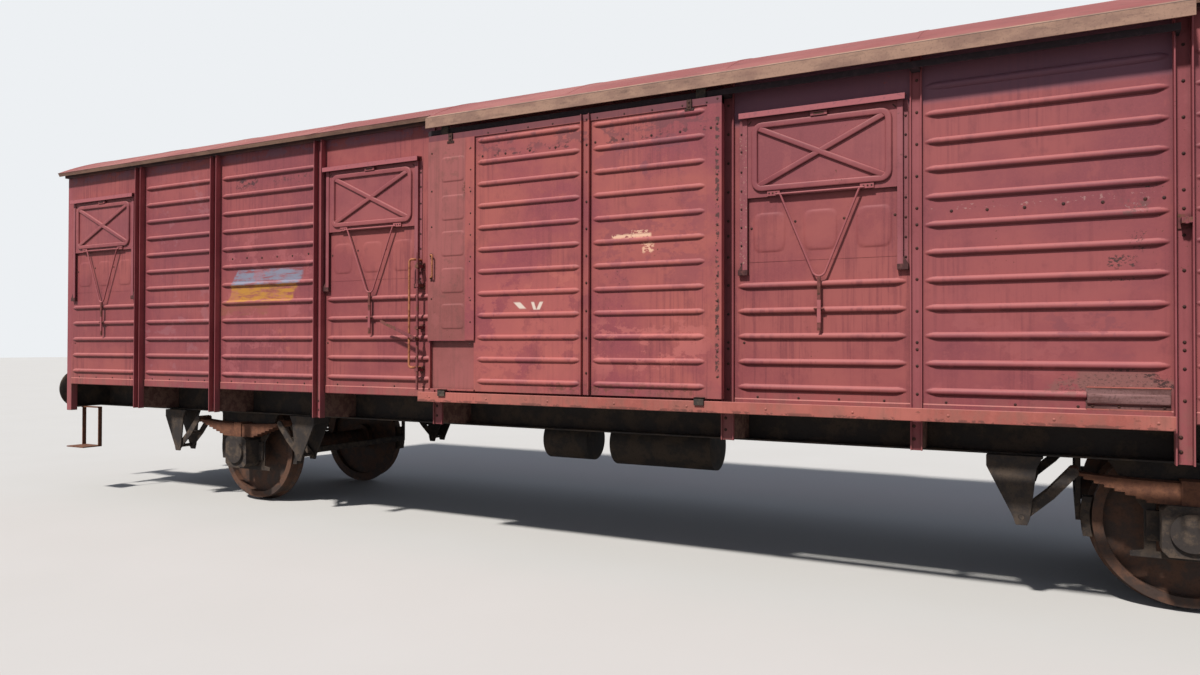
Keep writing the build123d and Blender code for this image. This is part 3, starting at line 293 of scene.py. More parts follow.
    def finish(self, color: object, roughness: object, height: object = None, bump: float = 0.3,
               depth: float = 0.001, specular: float = 0.5) -> bpy.types.Material:
        """Close the material with one shader.

        Args:
            color: base colour, a socket or a linear colour.
            roughness: a socket or a number.
            height: a socket that raises the surface, or None.
            bump: the strength of that relief.
            depth: what a height of 1 stands for, in metres.
            specular: the shader's specular level.

        Returns:
            The material.
        """
        inputs = {"Base Color": color, "Roughness": roughness, "Specular IOR Level": specular}
        if height is not None:
            relief = add_node(self.tree, "ShaderNodeBump", None,
                              {"Strength": bump, "Distance": depth, "Height": height})
            inputs["Normal"] = relief.outputs[0]
        shader = add_node(self.tree, "ShaderNodeBsdfPrincipled", None, inputs)
        add_node(self.tree, "ShaderNodeOutputMaterial", None, {"Surface": shader.outputs[0]})
        return self.material


@dataclass(frozen=True)
class Stain:
    """A patch of wear or dirt on the near side; some patches are painted shade.

    It has its ranges of x and z, the pattern's value where it starts (a low one makes a full patch), its
    colour, the width of its soft edge, the flakes in one metre, how strongly it shows, and its lean.
    """

    x: Flat
    z: Flat
    floor: float
    code: str
    soft: float = 0.06
    per_metre: float = 26.0
    share: float = 1.0
    lean: float = 0.0


@dataclass(frozen=True)
class Stripe:
    """One faded band on the wall: its range of x at height 2.0, its range of z, its colour and its share."""

    x: Flat
    z: Flat
    code: str
    share: float


BANDS = (
    Stripe((-3.86, -3.20), (1.885, 2.010), "8E5A45", 0.55),
    Stripe((-3.785, -2.915), (2.012, 2.172), "C08A38", 0.92),
    Stripe((-3.775, -2.885), (2.172, 2.315), "8494A8", 0.80),
)


@dataclass(frozen=True)
class WagonPaint:
    """Alkyd wagon paint, brushed and sprayed over pressed sheet steel, then bleached for decades.

    It gives the eye a chalky red that is nearly even, with faint drawn-down streaks, a dull pink bloom
    where the sun reached it, and dark pin holes of rust where the sheet shows through. It also carries a
    painted highlight on what faces up, and painted shade on what faces down and in inner corners.
    """

    name: str
    coat: str
    bloom: str
    shade: str
    rust: str = "5A3426"
    rust_share: float = 0.5
    streaks: float = 0.5
    grime_and_shade: float = 0.5
    stains: tuple[Stain, ...] = ()
    bands: tuple[Stripe, ...] = ()
    roughness: float = 0.62
    # painted_highlight tints what faces up; dark_tone is grime and painted shade in corners, and painted
    # shade on what faces down
    painted_highlight: str = "BC7876"
    dark_tone: str = "3B2426"
    dust: str = "8E6A5E"

    def make(self) -> bpy.types.Material:
        """Build the paint.

        Returns:
            The material.
        """
        s = Surface(self.name)
        z = s.axes()[2]
        # Clouds of bloom most of a metre across, and streaks 10 to 20 mm wide where water ran down
        clouds = s.grain(1.3, (0.7, 1.0, 1.0), 5.0, 0.6, 3.0)
        streak = s.grain(38.0, (1.0, 1.0, 0.03), 4.0, 0.6, 7.0)
        wet = s.grain(1.7, (1.0, 1.0, 0.5), 3.0, 0.5, 37.0)
        blotch = s.grain(9.0, (1.0, 1.0, 0.6), 6.0, 0.65, 11.0)
        speck = s.grain(95.0, EVEN, 3.0, 0.6, 17.0)
        color = s.blend(s.band(clouds, 0.38, 0.62), linear(self.coat), linear(self.bloom))
        run = s.math("MULTIPLY", s.band(streak, 0.46, 0.64), s.band(wet, 0.40, 0.56))
        color = s.blend(s.math("MULTIPLY", run, self.streaks * 0.9), color, linear(self.shade))
        color = s.tint(color, blotch, (0.52, 0.70), 0.4, self.shade)
        color = s.tint(color, blotch, (0.46, 0.34), 0.5, self.bloom)
        color = s.tint(color, speck, (0.45, 0.62), 0.2, self.bloom)
        # Grime and painted shade in every inner corner, and road dust splashed along the foot
        color = s.corner_dirt_and_shade(color, 0.05, (0.8, 0.35), self.grime_and_shade, self.dark_tone)
        foot = s.math("MULTIPLY", s.band(z, 1.38, 1.16), s.band(blotch, 0.42, 0.6))
        color = s.blend(s.math("MULTIPLY", foot, 0.3), color, linear(self.dust))
        # A painted highlight on what looks up, such as the beads' shoulders, and painted shade on what looks
        # down
        facing = add_node(s.tree, "ShaderNodeNewGeometry").outputs["Normal"]
        lift = add_node(s.tree, "ShaderNodeSeparateXYZ", None, {0: facing}).outputs[2]
        color = s.tint(color, lift, (0.25, 0.75), 0.5, self.painted_highlight)
        color = s.tint(color, lift, (-0.25, -0.75), 0.5, self.dark_tone)
        # Pin holes of rust 3 to 12 mm across, gathered in patches
        pin = s.grain(70.0, (1.0, 1.0, 0.8), 2.0, 0.5, 23.0)
        gather = s.band(s.grain(1.6, EVEN, 3.0, 0.6, 29.0), 0.6 - 0.14 * self.rust_share, 0.7)
        holes = s.math("MULTIPLY", s.band(pin, 0.685, 0.72), gather)
        color = s.blend(holes, color, linear(self.rust))
        rough = s.math("ADD", s.math("MULTIPLY", clouds, 0.22), self.roughness - 0.1)
        height = s.math("SUBTRACT", s.math("MULTIPLY", speck, 0.25), s.math("MULTIPLY", holes, 0.9))
        if self.bands:
            color = self._bands(s, color)
        for number, stain in enumerate(self.stains):
            color = self._stain(s, color, stain, 41.0 + 3.0 * number)
        return s.finish(color, rough, height, 0.35, 0.0012, 0.35)

    def _stain(self, s: Surface, color: object, stain: Stain, shift: float) -> bpy.types.NodeSocket:
        """Lay one patch over the paint, thick in the middle and thinner towards the edge.

        Args:
            s: the material under construction.
            color: the colour so far.
            stain: the patch.
            shift: the offset of its pattern.

        Returns:
            The colour with the patch on it.
        """
        creep = s.grain(stain.per_metre, (1.0, 1.0, 1.4), 6.0, 0.7, shift)
        mask = s.math("MULTIPLY", s.inside(stain.x, stain.z, stain.soft, stain.lean), stain.share)
        thin = s.math("MULTIPLY", s.math("SUBTRACT", mask, 1.0), 0.12)
        flakes = s.band(s.math("ADD", creep, thin), stain.floor, stain.floor + 0.05)
        return s.blend(s.math("MULTIPLY", mask, flakes), color, linear(stain.code))

    def _bands(self, s: Surface, color: object) -> bpy.types.NodeSocket:
        """Lay the faded bands, with slanted ends, over the paint.

        Args:
            s: the material under construction.
            color: the colour so far.

        Returns:
            The colour with the bands on it.
        """
        x, _, z = s.axes()
        waver = s.stir(0.0, s.grain(11.0, EVEN, 4.0, 0.6, 61.0), 0.10)
        slid = s.math("ADD", s.slant(x, z, 2.0, 0.42), waver)
        level = s.math("ADD", z, s.math("MULTIPLY", waver, 0.25))
        worn = s.band(s.grain(13.0, (0.45, 1.0, 2.6), 5.0, 0.65, 53.0), 0.68, 0.42)
        shown = s.math("MULTIPLY", s.near(), worn)
        for stripe in self.bands:
            ends = s.between(slid, stripe.x, (0.012, 0.020))
            sides = s.between(level, stripe.z, (0.006, 0.010))
            mask = s.math("MULTIPLY", s.math("MULTIPLY", ends, sides), shown)
            color = s.blend(s.math("MULTIPLY", mask, stripe.share), color, linear(stripe.code))
        return color


@dataclass(frozen=True)
class WeatheredCoat:
    """Old paint under rust, dust or lichen: roof edge, hood, underframe and fittings.

    It gives the eye a coat that is partly gone, with a second colour growing over it in patches.
    """

    name: str
    coat: str
    growth: str
    deep: str
    share: float
    patch_per_metre: float
    roughness: float = 0.85
    stretch: Point = EVEN

    def make(self) -> bpy.types.Material:
        """Build the coat.

        Returns:
            The material.
        """
        s = Surface(self.name)
        patch = s.grain(self.patch_per_metre, self.stretch, 6.0, 0.65, 5.0)
        fine = s.grain(60.0, EVEN, 4.0, 0.6, 9.0)
        edge = 0.5 + (0.5 - self.share) * 0.4
        grown = s.band(s.math("ADD", s.math("MULTIPLY", patch, 0.8), s.math("MULTIPLY", fine, 0.2)),
                       edge - 0.07, edge + 0.07)
        color = s.blend(grown, linear(self.coat), linear(self.growth))
        color = s.tint(color, fine, (0.5, 0.7), 0.5, self.deep)
        # Dirt and painted shade in inner corners
        color = s.corner_dirt_and_shade(color, 0.04, (0.8, 0.3), 0.6, self.deep)
        rough = s.stir(self.roughness, patch, 0.3)
        return s.finish(color, rough, fine, 0.4, 0.0015, 0.3)


@dataclass(frozen=True)
class EdgedRoofPaint:
    """Bleached red roof paint that gives way to lichen and dirt along the drip edge.

    It gives the eye salmon red sheets, and below them a tan band, with a dark line of moss between the two.
    """

    name: str
    tide_z: float
    crease_z: float
    red: str = "8E514F"
    bleached: str = "A16863"
    dark_tone: str = "5E4041"
    lichen: str = "AC8976"
    crust: str = "947466"
    moss: str = "574840"

    def make(self) -> bpy.types.Material:
        """Build the paint.

        Returns:
            The material.
        """
        s = Surface(self.name)
        z = s.axes()[2]
        clouds = s.grain(1.6, (0.5, 1.0, 1.0), 4.0, 0.55, 3.0)
        blotch = s.grain(7.0, (0.45, 1.0, 1.0), 6.0, 0.65, 13.0)
        fine = s.grain(70.0, EVEN, 4.0, 0.6, 9.0)
        red = s.blend(s.band(clouds, 0.35, 0.65), linear(self.red), linear(self.bleached))
        red = s.tint(red, blotch, (0.56, 0.72), 0.55, self.dark_tone)
        tan = s.blend(s.band(blotch, 0.42, 0.6), linear(self.lichen), linear(self.crust))
        tan = s.tint(tan, fine, (0.52, 0.7), 0.35, self.moss)
        tan = s.tint(tan, clouds, (0.55, 0.75), 0.4, self.red)
        color = s.blend(s.band(s.stir(z, blotch, 0.016), self.tide_z - 0.004, self.tide_z + 0.004), tan, red)
        crease = (self.crease_z - 0.003, self.crease_z + 0.004)
        line = s.between(s.stir(z, blotch, 0.004), crease, (0.002, 0.002))
        color = s.blend(s.math("MULTIPLY", line, 0.9), color, linear(self.moss))
        color = s.tint(color, s.grain(26.0, (0.25, 1.0, 1.0), 5.0, 0.7, 21.0), (0.54, 0.68), 0.35, self.moss)
        # Moss and painted shade in inner corners
        color = s.corner_dirt_and_shade(color, 0.04, (0.75, 0.3), 0.5, self.moss)
        rough = s.math("ADD", s.math("MULTIPLY", clouds, 0.2), 0.68)
        return s.finish(color, rough, fine, 0.35, 0.0015, 0.3)


@dataclass(frozen=True)
class Planks:
    """Sawn spruce boards, greyed and scuffed; lining and floor of the load space.

    They give the eye grey brown boards, each in its own tone, with dark joints and a fine grain.
    """

    name: str
    board: str
    grey: str
    width_mm: float = 140.0
    upright: bool = True
    stain: str = "3A2C20"
    gap: str = "171310"

    def make(self) -> bpy.types.Material:
        """Build the boards, lying along x and stacked upwards, or side by side in a floor.

        Returns:
            The material.
        """
        s = Surface(self.name)
        count = s.math("MULTIPLY", s.axes()[2 if self.upright else 0], 1000.0 / self.width_mm)
        part = s.math("FRACT", count)
        joint = s.math("MAXIMUM", s.band(part, 0.03, 0.0), s.band(part, 0.97, 1.0))
        tone = add_node(s.tree, "ShaderNodeTexWhiteNoise", {"noise_dimensions": "1D"},
                        {"W": s.math("FLOOR", count)}).outputs["Value"]
        fibre = s.grain(180.0, (0.05, 0.05, 1.0) if self.upright else (1.0, 0.05, 0.05), 4.0, 0.6, 2.0)
        worn = s.math("MULTIPLY", s.math("ADD", tone, fibre), 0.5)
        color = s.blend(worn, linear(self.board), linear(self.grey))
        color = s.tint(color, s.grain(3.0, EVEN, 5.0, 0.6, 6.0), (0.5, 0.7), 0.5, self.stain)
        color = s.blend(joint, color, linear(self.gap))
        height = s.math("SUBTRACT", s.math("MULTIPLY", fibre, 0.3), joint)
        return s.finish(color, 0.85, height, 0.5, 0.002, 0.2)


SOOT_AND_OVERHANG_SHADE, FLAKED, CHALK, SOOTY_RED, SMUDGE = "745668", "422E2C", "B8938D", "6A4046", "35262A"
SCAB, CRUST = "875B56", "3A2626"

WALL_STAINS = (
    # Soot and painted shade under the door hood and the eave: the mauve stands in for the hood's shadow, down
    # to where that shadow ends
    Stain((1.2, 3.92), (3.12, 3.5), 0.26, SOOT_AND_OVERHANG_SHADE, 0.03, 6.0, 0.72),
    Stain((-6.4, -1.2), (3.36, 3.5), 0.40, SOOT_AND_OVERHANG_SHADE, 0.03, 6.0, 0.5),
    Stain((-5.10, -3.95), (1.2, 3.3), 0.46, "A8747A", 0.15, 3.0, 0.28),
    Stain((-3.9, -2.6), (1.2, 2.7), 0.46, "B4686A", 0.15, 3.0, 0.4),
    Stain((2.6, 3.5), (1.2, 1.9), 0.46, "A2595A", 0.15, 3.0, 0.5),
    Stain((3.25, 3.80), (1.55, 1.95), 0.47, "84484F", 0.10, 5.0, 0.6),
    # A scab of rust above the mending plate, with a dark ragged rim that falls to the right
    Stain((3.42, 3.80), (1.350, 1.460), 0.28, SCAB, 0.020, 14.0, 0.85),
    Stain((3.26, 3.50), (1.300, 1.420), 0.44, SCAB, 0.050, 20.0, 0.75, 0.8),
    Stain((3.76, 3.885), (1.350, 1.410), 0.28, SCAB, 0.015, 14.0, 0.85),
    Stain((3.30, 3.88), (1.320, 1.455), 0.51, "563B38", 0.030, 60.0, 0.7),
    Stain((3.42, 3.86), (1.350, 1.450), 0.54, "AE8A82", 0.020, 75.0, 0.5),
    Stain((3.57, 3.71), (1.456, 1.476), 0.46, CRUST, 0.006, 40.0, 0.9),
    Stain((3.70, 3.82), (1.424, 1.448), 0.46, CRUST, 0.006, 40.0, 0.9),
    Stain((3.80, 3.885), (1.350, 1.420), 0.45, CRUST, 0.010, 40.0, 0.9, -0.9),
    Stain((3.63, 3.77), (2.33, 2.44), 0.47, "6C4C4A", 0.03, 24.0, 0.8),
    Stain((3.63, 3.77), (2.35, 2.42), 0.54, "9E8480", 0.02, 55.0, 0.7),
    Stain((3.71, 3.84), (2.475, 2.520), 0.53, FLAKED, 0.02, 60.0),
    Stain((3.68, 3.77), (2.13, 2.26), 0.53, FLAKED, 0.03, 60.0),
    Stain((3.57, 3.73), (2.04, 2.12), 0.51, FLAKED, 0.025, 44.0),
    Stain((3.57, 3.73), (1.965, 1.995), 0.54, FLAKED, 0.008, 60.0),
    Stain((2.60, 3.85), (2.425, 2.472), 0.54, CHALK, 0.015, 34.0, 0.6),
    Stain((1.455, 1.475), (2.10, 2.58), 0.52, CHALK, 0.005, 50.0, 0.8),
    Stain((-3.68, -3.52), (3.09, 3.21), 0.46, SMUDGE, 0.045, 22.0, 0.85),
    Stain((-3.52, -3.37), (3.10, 3.20), 0.46, SMUDGE, 0.040, 22.0, 0.85),
    Stain((-3.2, -2.65), (3.08, 3.20), 0.54, "5A3A3A"),
    Stain((-3.3, -2.9), (1.50, 1.78), 0.50, "B4685C", 0.08, 8.0, 0.5),
)

DOOR_STAINS = (
    Stain((-0.75, 0.25), (1.25, 2.15), 0.40, "BC6860", 0.14, 2.6, 0.5),
    Stain((0.30, 1.2), (1.40, 1.78), 0.45, "C2706A", 0.10, 4.0, 0.6),
    Stain((-0.3, 0.2), (1.95, 2.2), 0.47, "BE6C62", 0.09, 5.0, 0.5),
    Stain((0.30, 1.20), (2.0, 3.1), 0.44, "86464F", 0.15, 2.5, 0.5),
    Stain((-0.7, 1.2), (3.10, 3.24), 0.46, SOOTY_RED, 0.04, 7.0, 0.6),
    # A painted shadow of the hood along the top of the door
    Stain((-1.21, 1.31), (3.252, 3.32), 0.0, "5E3640", 0.006, 8.0, 0.75),
    Stain((0.45, 1.05), (2.80, 3.10), 0.46, "7A4650", 0.06, 6.0, 0.6),
    Stain((-0.72, 1.2), (3.062, 3.125), 0.52, SMUDGE, 0.02, 16.0, 0.7),
    Stain((1.235, 1.305), (1.35, 3.18), 0.53, "8E5A44", 0.008, 34.0, 0.6),
    Stain((1.262, 1.292), (1.38, 3.16), 0.47, FLAKED, 0.006, 26.0, 0.9),
    Stain((-0.1, 1.1), (1.25, 1.33), 0.46, "6E4438", 0.03, 16.0, 0.7),
    Stain((-0.355, -0.295), (1.882, 1.930), 0.0, "E9D9CA", 0.008, 30.0, 0.95, -1.1),
    Stain((-0.212, -0.186), (1.872, 1.930), 0.0, "E9D9CA", 0.006, 30.0, 0.95, -0.35),
    Stain((-0.160, -0.130), (1.872, 1.930), 0.0, "E9D9CA", 0.006, 30.0, 0.95, 0.5),
    Stain((0.47, 0.78), (2.372, 2.398), 0.38, "F0C6A8", 0.010, 30.0, 0.95),
    Stain((0.62, 0.76), (2.398, 2.425), 0.48, "F0C6A8", 0.008, 45.0, 0.9),
    Stain((0.71, 0.80), (2.26, 2.33), 0.42, "EDBC9E", 0.014, 38.0, 0.95),
)

STRIP_STAINS = (
    Stain((-1.21, -0.74), (1.64, 1.72), 0.50, "6E5038", 0.04, 20.0, 0.5),
    Stain((-1.1, -0.85), (2.75, 3.25), 0.46, "6A4A40", 0.12, 8.0, 0.35),
    Stain((-1.1, -0.85), (1.9, 2.55), 0.47, "6A4A42", 0.12, 8.0, 0.35),
    Stain((-0.86, -0.80), (2.78, 2.90), 0.40, "5A3428", 0.02, 12.0, 0.8),
)

RAIL_STAINS = (
    Stain((-1.3, 3.9), (1.13, 1.163), 0.44, "5A3A34", 0.008, 9.0, 0.65),
    Stain((-1.3, 3.9), (1.16, 1.225), 0.56, "6A4238", 0.01, 11.0, 0.6),
)

# The drip strips over the hatches are painted lighter than the guides below them, a painted highlight for the
# sun on their faces
GUIDE_STAINS = (
    Stain((-6.4, 6.4), (3.146, 3.25), 0.0, "AE6368", 0.004, 12.0, 0.85),
    Stain((-6.4, 6.4), (3.150, 3.20), 0.50, "84505A", 0.004, 30.0, 0.6),
    Stain((1.38, 1.45), (2.10, 3.05), 0.56, "C0A08C", 0.006, 60.0, 0.8),
    Stain((-6.4, 6.4), (2.08, 3.10), 0.55, "5C3A34", 0.01, 30.0, 0.6),
)


class Palette:
    """Every finish of the wagon, each built once."""

    def __init__(self) -> None:
        """Build the materials, named for what they really are."""
        self.wall = WagonPaint("alkyd_wagon_red_on_pressed_sheet", "89464D", "9E5454", "713840",
                               stains=WALL_STAINS, bands=BANDS).make()
        self.vent = WagonPaint("alkyd_wagon_red_on_vent_bays", "8D474B", "A15754", "75393F",
                               rust_share=0.4, streaks=0.7, stains=WALL_STAINS[:2]).make()
        self.post = WagonPaint("alkyd_wagon_red_on_rolled_channel", "914A4F", "9D5559", "783B3F",
                               rust_share=0.7, streaks=0.3).make()
        self.door = WagonPaint("alkyd_wagon_red_on_door", "914850", "AB5D57", "743A41",
                               rust_share=0.6, stains=DOOR_STAINS).make()
        self.hatch = WagonPaint("alkyd_wagon_red_on_vent_hatch", "88464C", "9C5556", "733A40",
                                rust_share=0.3, streaks=0.35, roughness=0.55).make()
        self.rail = WagonPaint("red_lead_on_door_rail", "A2584F", "B86B60", "7A463E",
                               rust_share=0.9, streaks=0.3, grime_and_shade=0.4, stains=RAIL_STAINS).make()
        self.strip = WagonPaint("grimed_wagon_red_on_door_strip", "8A4E4B", "A05C5A", "6E4541",
                                rust_share=0.8, streaks=0.35, grime_and_shade=0.7, stains=STRIP_STAINS).make()
        self.guide = WagonPaint("alkyd_wagon_red_on_hatch_guide", "8E4B51", "9C5A5F", "743C42",
                                rust_share=1.0, streaks=0.4, stains=GUIDE_STAINS).make()
        self.bar = WagonPaint("alkyd_wagon_red_on_round_bar", "965055", "AA6062", "7A3D41",
                              rust_share=0.8, streaks=0.2).make()
        self.end = WagonPaint("alkyd_wagon_red_on_end_wall", "904A4A", "9C5656", "763C3F",
                              rust_share=0.6).make()
        self.roof = EdgedRoofPaint("bleached_paint_on_roof_sheets", 3.478, 3.484).make()
        self.hood = EdgedRoofPaint("lichened_paint_on_door_hood", 3.458, 3.441).make()
        self.lining = Planks("sawn_spruce_lining", "6E573F", "8A7B68").make()
        self.floor = Planks("sawn_spruce_floor", "5E4A36", "7C6E5D", 180.0, False).make()
        # The door track under the hood is near black: soot, and painted shade for the hood's shadow
        self.track = WeatheredCoat("sooted_and_shaded_track_steel", "30262A", "43353A", "191316", 0.4, 18.0).make()
        self.eave = WeatheredCoat("sooted_soffit_paint", "4E3A3C", "6A4A44", "2A2022", 0.4, 7.0, 0.8,
                                  (0.35, 1.0, 1.0)).make()
        self.under = WeatheredCoat("dusty_bitumen_underframe_paint", "35302E", "55493F", "1E1B1A", 0.45, 5.0,
                                   0.8).make()
        self.rust = WeatheredCoat("rusted_wrought_iron", "6A4636", "7E5540", "3A2620", 0.5, 22.0).make()
        self.gear = WeatheredCoat("painted_iron_bar", "84464A", "74503E", "3E2626", 0.4, 18.0, 0.75).make()
        self.grab = WeatheredCoat("bare_rusted_grab_iron", "B87552", "96573E", "5E3828", 0.4, 24.0).make()
        self.casting = WeatheredCoat("sand_cast_iron_with_dust", "3B3532", "5E5146", "221E1C", 0.45,
                                     12.0).make()
        self.wheel = WeatheredCoat("rolled_wheel_steel_with_rust", "463832", "66493A", "28211E", 0.5, 8.0,
                                   0.7).make()
        self.gusset = WeatheredCoat("dusted_red_on_post_gusset", "6A4A43", "8A6A5E", "3A2926", 0.5,
                                    16.0).make()
        self.stop = WeatheredCoat("sooted_red_on_stop_casting", "4A2C2C", "704642", "281818", 0.4, 30.0,
                                  0.8).make()
        self.tongue = WeatheredCoat("rusting_red_on_hatch_tongue", "7C4543", "6A3F36", "3C2422", 0.45, 30.0,
                                    0.8).make()
        self.pin = WeatheredCoat("rusted_rivet_head", "3A2422", "5A3A2C", "241817", 0.4, 60.0, 0.75).make()
        self.mend = WeatheredCoat("bleached_mending_plate", "5E403D", "8A6765", "281918", 0.5, 9.0, 0.85,
                                  (0.16, 1.0, 2.5)).make()


# Meshes


def around(middle: float, half: float) -> Flat:
    """The range that reaches this far to both sides of a middle."""
    return (middle - half, middle + half)


def square(wanted: Vector, way: Vector) -> Vector:
    """The unit vector square to a way that lies nearest to a wanted one."""
    return (wanted - way * wanted.dot(way)).normalized()


def circle(centre: Vector, across: Vector, way: Vector, radius: float, sides: int) -> list[Point]:
    """Points evenly spaced on a circle.

    Args:
        centre: its middle.
        across: the unit vector towards its first point.
        way: the unit vector square to its plane.
        radius: its radius.
        sides: how many points it has.

    Returns:
        The points.
    """
    other = way.cross(across)
    angles = [2.0 * math.pi * side / sides for side in range(sides)]
    return [tuple(centre + across * (radius * math.cos(angle)) + other * (radius * math.sin(angle)))
            for angle in angles]


def ways_along(line: Sequence[Vector], closed: bool) -> list[Vector]:
    """The way along a path at each of its points.

    Args:
        line: the path.
        closed: whether its end joins its start.

    Returns:
        Unit vectors.
    """
    count = len(line)
    ways = []
    for index in range(count):
        ahead = line[(index + 1) % count] if closed or index + 1 < count else line[index]
        behind = line[index - 1] if closed or index else line[index]
        ways.append((ahead - behind).normalized())
    return ways


@dataclass
class Shape:
    """Vertices and faces gathered for one piece, each face with the number of its material."""

    points: list[Point] = field(default_factory=list)
    faces: list[tuple[int, ...]] = field(default_factory=list)
    slots: list[int] = field(default_factory=list)

    def add(self, points: Sequence[Point], faces: Iterable[Sequence[int]], slot: int = 0) -> None:
        """Join more vertices and faces.

        Args:
            points: the new vertices.
            faces: the new faces, numbered from the first new vertex.
            slot: the material number of these faces.
        """
        start = len(self.points)
        self.points.extend(points)
        for face in faces:
            self.faces.append(tuple(start + index for index in face))
            self.slots.append(slot)

    def box(self, x: Flat, out: Flat, z: Flat, slot: int = 0) -> None:
        """Add a plain bar or plate of the near side.

        Args:
            x: its two ends along the side, in either order.
            out: how far out its inner and outer faces lie.
            z: its lower and upper edges.
            slot: the material number.
        """
        points = [(a, -b, c) for a in sorted(x) for b in out for c in z]
        faces = [(0, 1, 3, 2), (4, 6, 7, 5), (0, 4, 5, 1), (2, 3, 7, 6), (0, 2, 6, 4), (1, 5, 7, 3)]
        self.add(points, faces, slot)

    def loft(self, rings: Sequence[Sequence[Point]], closed: bool = False, slot: int = 0,
             ends: bool = True) -> None:
        """Add a skin over outlines that have equally many points.

        Args:
            rings: the outlines, one after another.
            closed: whether the last joins the first.
            slot: the material number.
            ends: whether a flat face closes each end of a skin that isn't closed.
        """
        count, wide = len(rings), len(rings[0])
        faces = []
        for index in range(count if closed else count - 1):
            here, after = index * wide, (index + 1) % count * wide
            for step in range(wide):
                beside = (step + 1) % wide
                faces.append((here + step, here + beside, after + beside, after + step))
        if ends and not closed:
            faces.append(tuple(reversed(range(wide))))
            faces.append(tuple(range((count - 1) * wide, count * wide)))
        self.add([point for ring in rings for point in ring], faces, slot)

    def tube(self, path: Sequence[Point], radius: float, sides: int = 10, slot: int = 0) -> None:
        """Add a round bar along a path.

        Args:
            path: the bar's centre line.
            radius: the bar's radius.
            sides: how many sides its section has.
            slot: the material number.
        """
        line = [Vector(p) for p in path]
        ways = ways_along(line, False)
        across = Vector((0.0, 1.0, 0.0)) if abs(ways[0].y) < 0.9 else Vector((1.0, 0.0, 0.0))
        rings = []
        for spot, way in zip(line, ways):
            across = square(across, way)
            rings.append(circle(spot, across, way, radius, sides))
        self.loft(rings, False, slot)

    def lathe(self, centre: Point, axis: Vector, profile: Sequence[Flat], sides: int, slot: int = 0) -> None:
        """Add a turned piece.

        Args:
            centre: the point where the profile's distance along the axis is 0.
            axis: the way along the axis, a unit vector.
            profile: distance along the axis and radius; a radius of 0 closes an end.
            sides: how many sides the turning has.
            slot: the material number.
        """
        across = square(Vector((0.0, 0.0, 1.0)) if abs(axis.z) < 0.9 else Vector((1.0, 0.0, 0.0)), axis)
        points: list[Point] = []
        rows: list[list[int]] = []
        for along, radius in profile:
            start, spot = len(points), Vector(centre) + axis * along
            if radius:
                points += circle(spot, across, axis, radius, sides)
                rows.append(list(range(start, start + sides)))
            else:
                points.append(tuple(spot))
                rows.append([start] * sides)
        faces = []
        for low, high in zip(rows, rows[1:]):
            for side in range(sides):
                after = (side + 1) % sides
                face = tuple(dict.fromkeys((low[side], low[after], high[after], high[side])))
                if len(face) > 2:
                    faces.append(face)
        self.add(points, faces, slot)

    def pin(self, foot: Point, axis: Vector, radius: float, length: float, sides: int, slot: int) -> None:
        """Add a plain round pin that starts at its foot and has flat ends."""
        self.lathe(foot, axis, [(0.0, 0.0), (0.0, radius), (length, radius), (length, 0.0)], sides, slot)

    def studs(self, xs: Iterable[float], out: float, zs: Sequence[float], head: Flat, slot: int = 0,
              sides: int = 8) -> None:
        """Add a rivet head, a low dome, wherever one of the places along the side meets one of the heights.

        Args:
            xs: the places along the side.
            out: how far out the face lies that they stand on.
            zs: the heights.
            head: the head's radius and rise.
            slot: the material number.
            sides: how many sides the head has.
        """
        radius, rise = head
        dome = [(-0.001, radius), (rise * 0.35, radius * 0.96), (rise * 0.8, radius * 0.62), (rise, 0.0)]
        for x in xs:
            for z in zs:
                self.lathe((x, -out, z), OUT, dome, sides, slot)

    def bolt(self, spot: Point, axis: Vector, radius: float, rise: float) -> None:
        """Add one hexagon bolt head with its washer.

        Args:
            spot: the middle of its foot.
            axis: the way it stands out, a unit vector.
            radius: the head's radius over its corners.
            rise: the head's height.
        """
        washer = radius * 1.35
        self.lathe(spot, axis, [(-0.001, washer), (0.003, washer), (0.003, 0.0)], 12)
        head = [(0.002, radius), (rise - 0.002, radius), (rise, radius * 0.85), (rise, 0.0)]
        self.lathe(spot, axis, head, 6)

    def moved(self, side: Side, along: float = 0.0) -> "Shape":
        """The same shape moved along the near side and from there to the given side."""
        return Shape(side.turn((x + along, y, z) for x, y, z in self.points), self.faces, self.slots)

    def piece(self, name: str, materials: Sequence[bpy.types.Material], corner: Corner,
              bevel: float) -> bpy.types.Object:
        """Turn the gathered faces into one object.

        Args:
            name: the object's name.
            materials: its materials, in the order of the slot numbers.
            corner: how its edges shade.
            bevel: the width of a bevel on its sharp edges, or 0.

        Returns:
            The object, in the scene.
        """
        mesh = bpy.data.meshes.new(name)
        mesh.from_pydata(self.points, [], self.faces)
        mesh.polygons.foreach_set("material_index", self.slots)
        for material in materials:
            mesh.materials.append(material)
        work = bmesh.new()
        work.from_mesh(mesh)
        bmesh.ops.recalc_face_normals(work, faces=work.faces)
        work.to_mesh(mesh)
        work.free()
        mesh.polygons.foreach_set("use_smooth", [corner is not Corner.FLAT] * len(mesh.polygons))
        if corner is Corner.CRISP:
            mesh.set_sharp_from_angle(angle=math.radians(corner.value))
        mesh.update()
        made = bpy.data.objects.new(name, mesh)
        bpy.context.scene.collection.objects.link(made)
        if bevel:
            soften(made, bevel)
        return made


def soften(piece: bpy.types.Object, width: float) -> None:
    """Round a piece's sharp edges with a bevel.

    Args:
        piece: the object.
        width: the bevel's width in metres.
    """
    bevel = piece.modifiers.new("worn_edges", "BEVEL")
    bevel.width = width
    bevel.segments = 2
    bevel.limit_method = "ANGLE"
    bevel.angle_limit = math.radians(38.0)


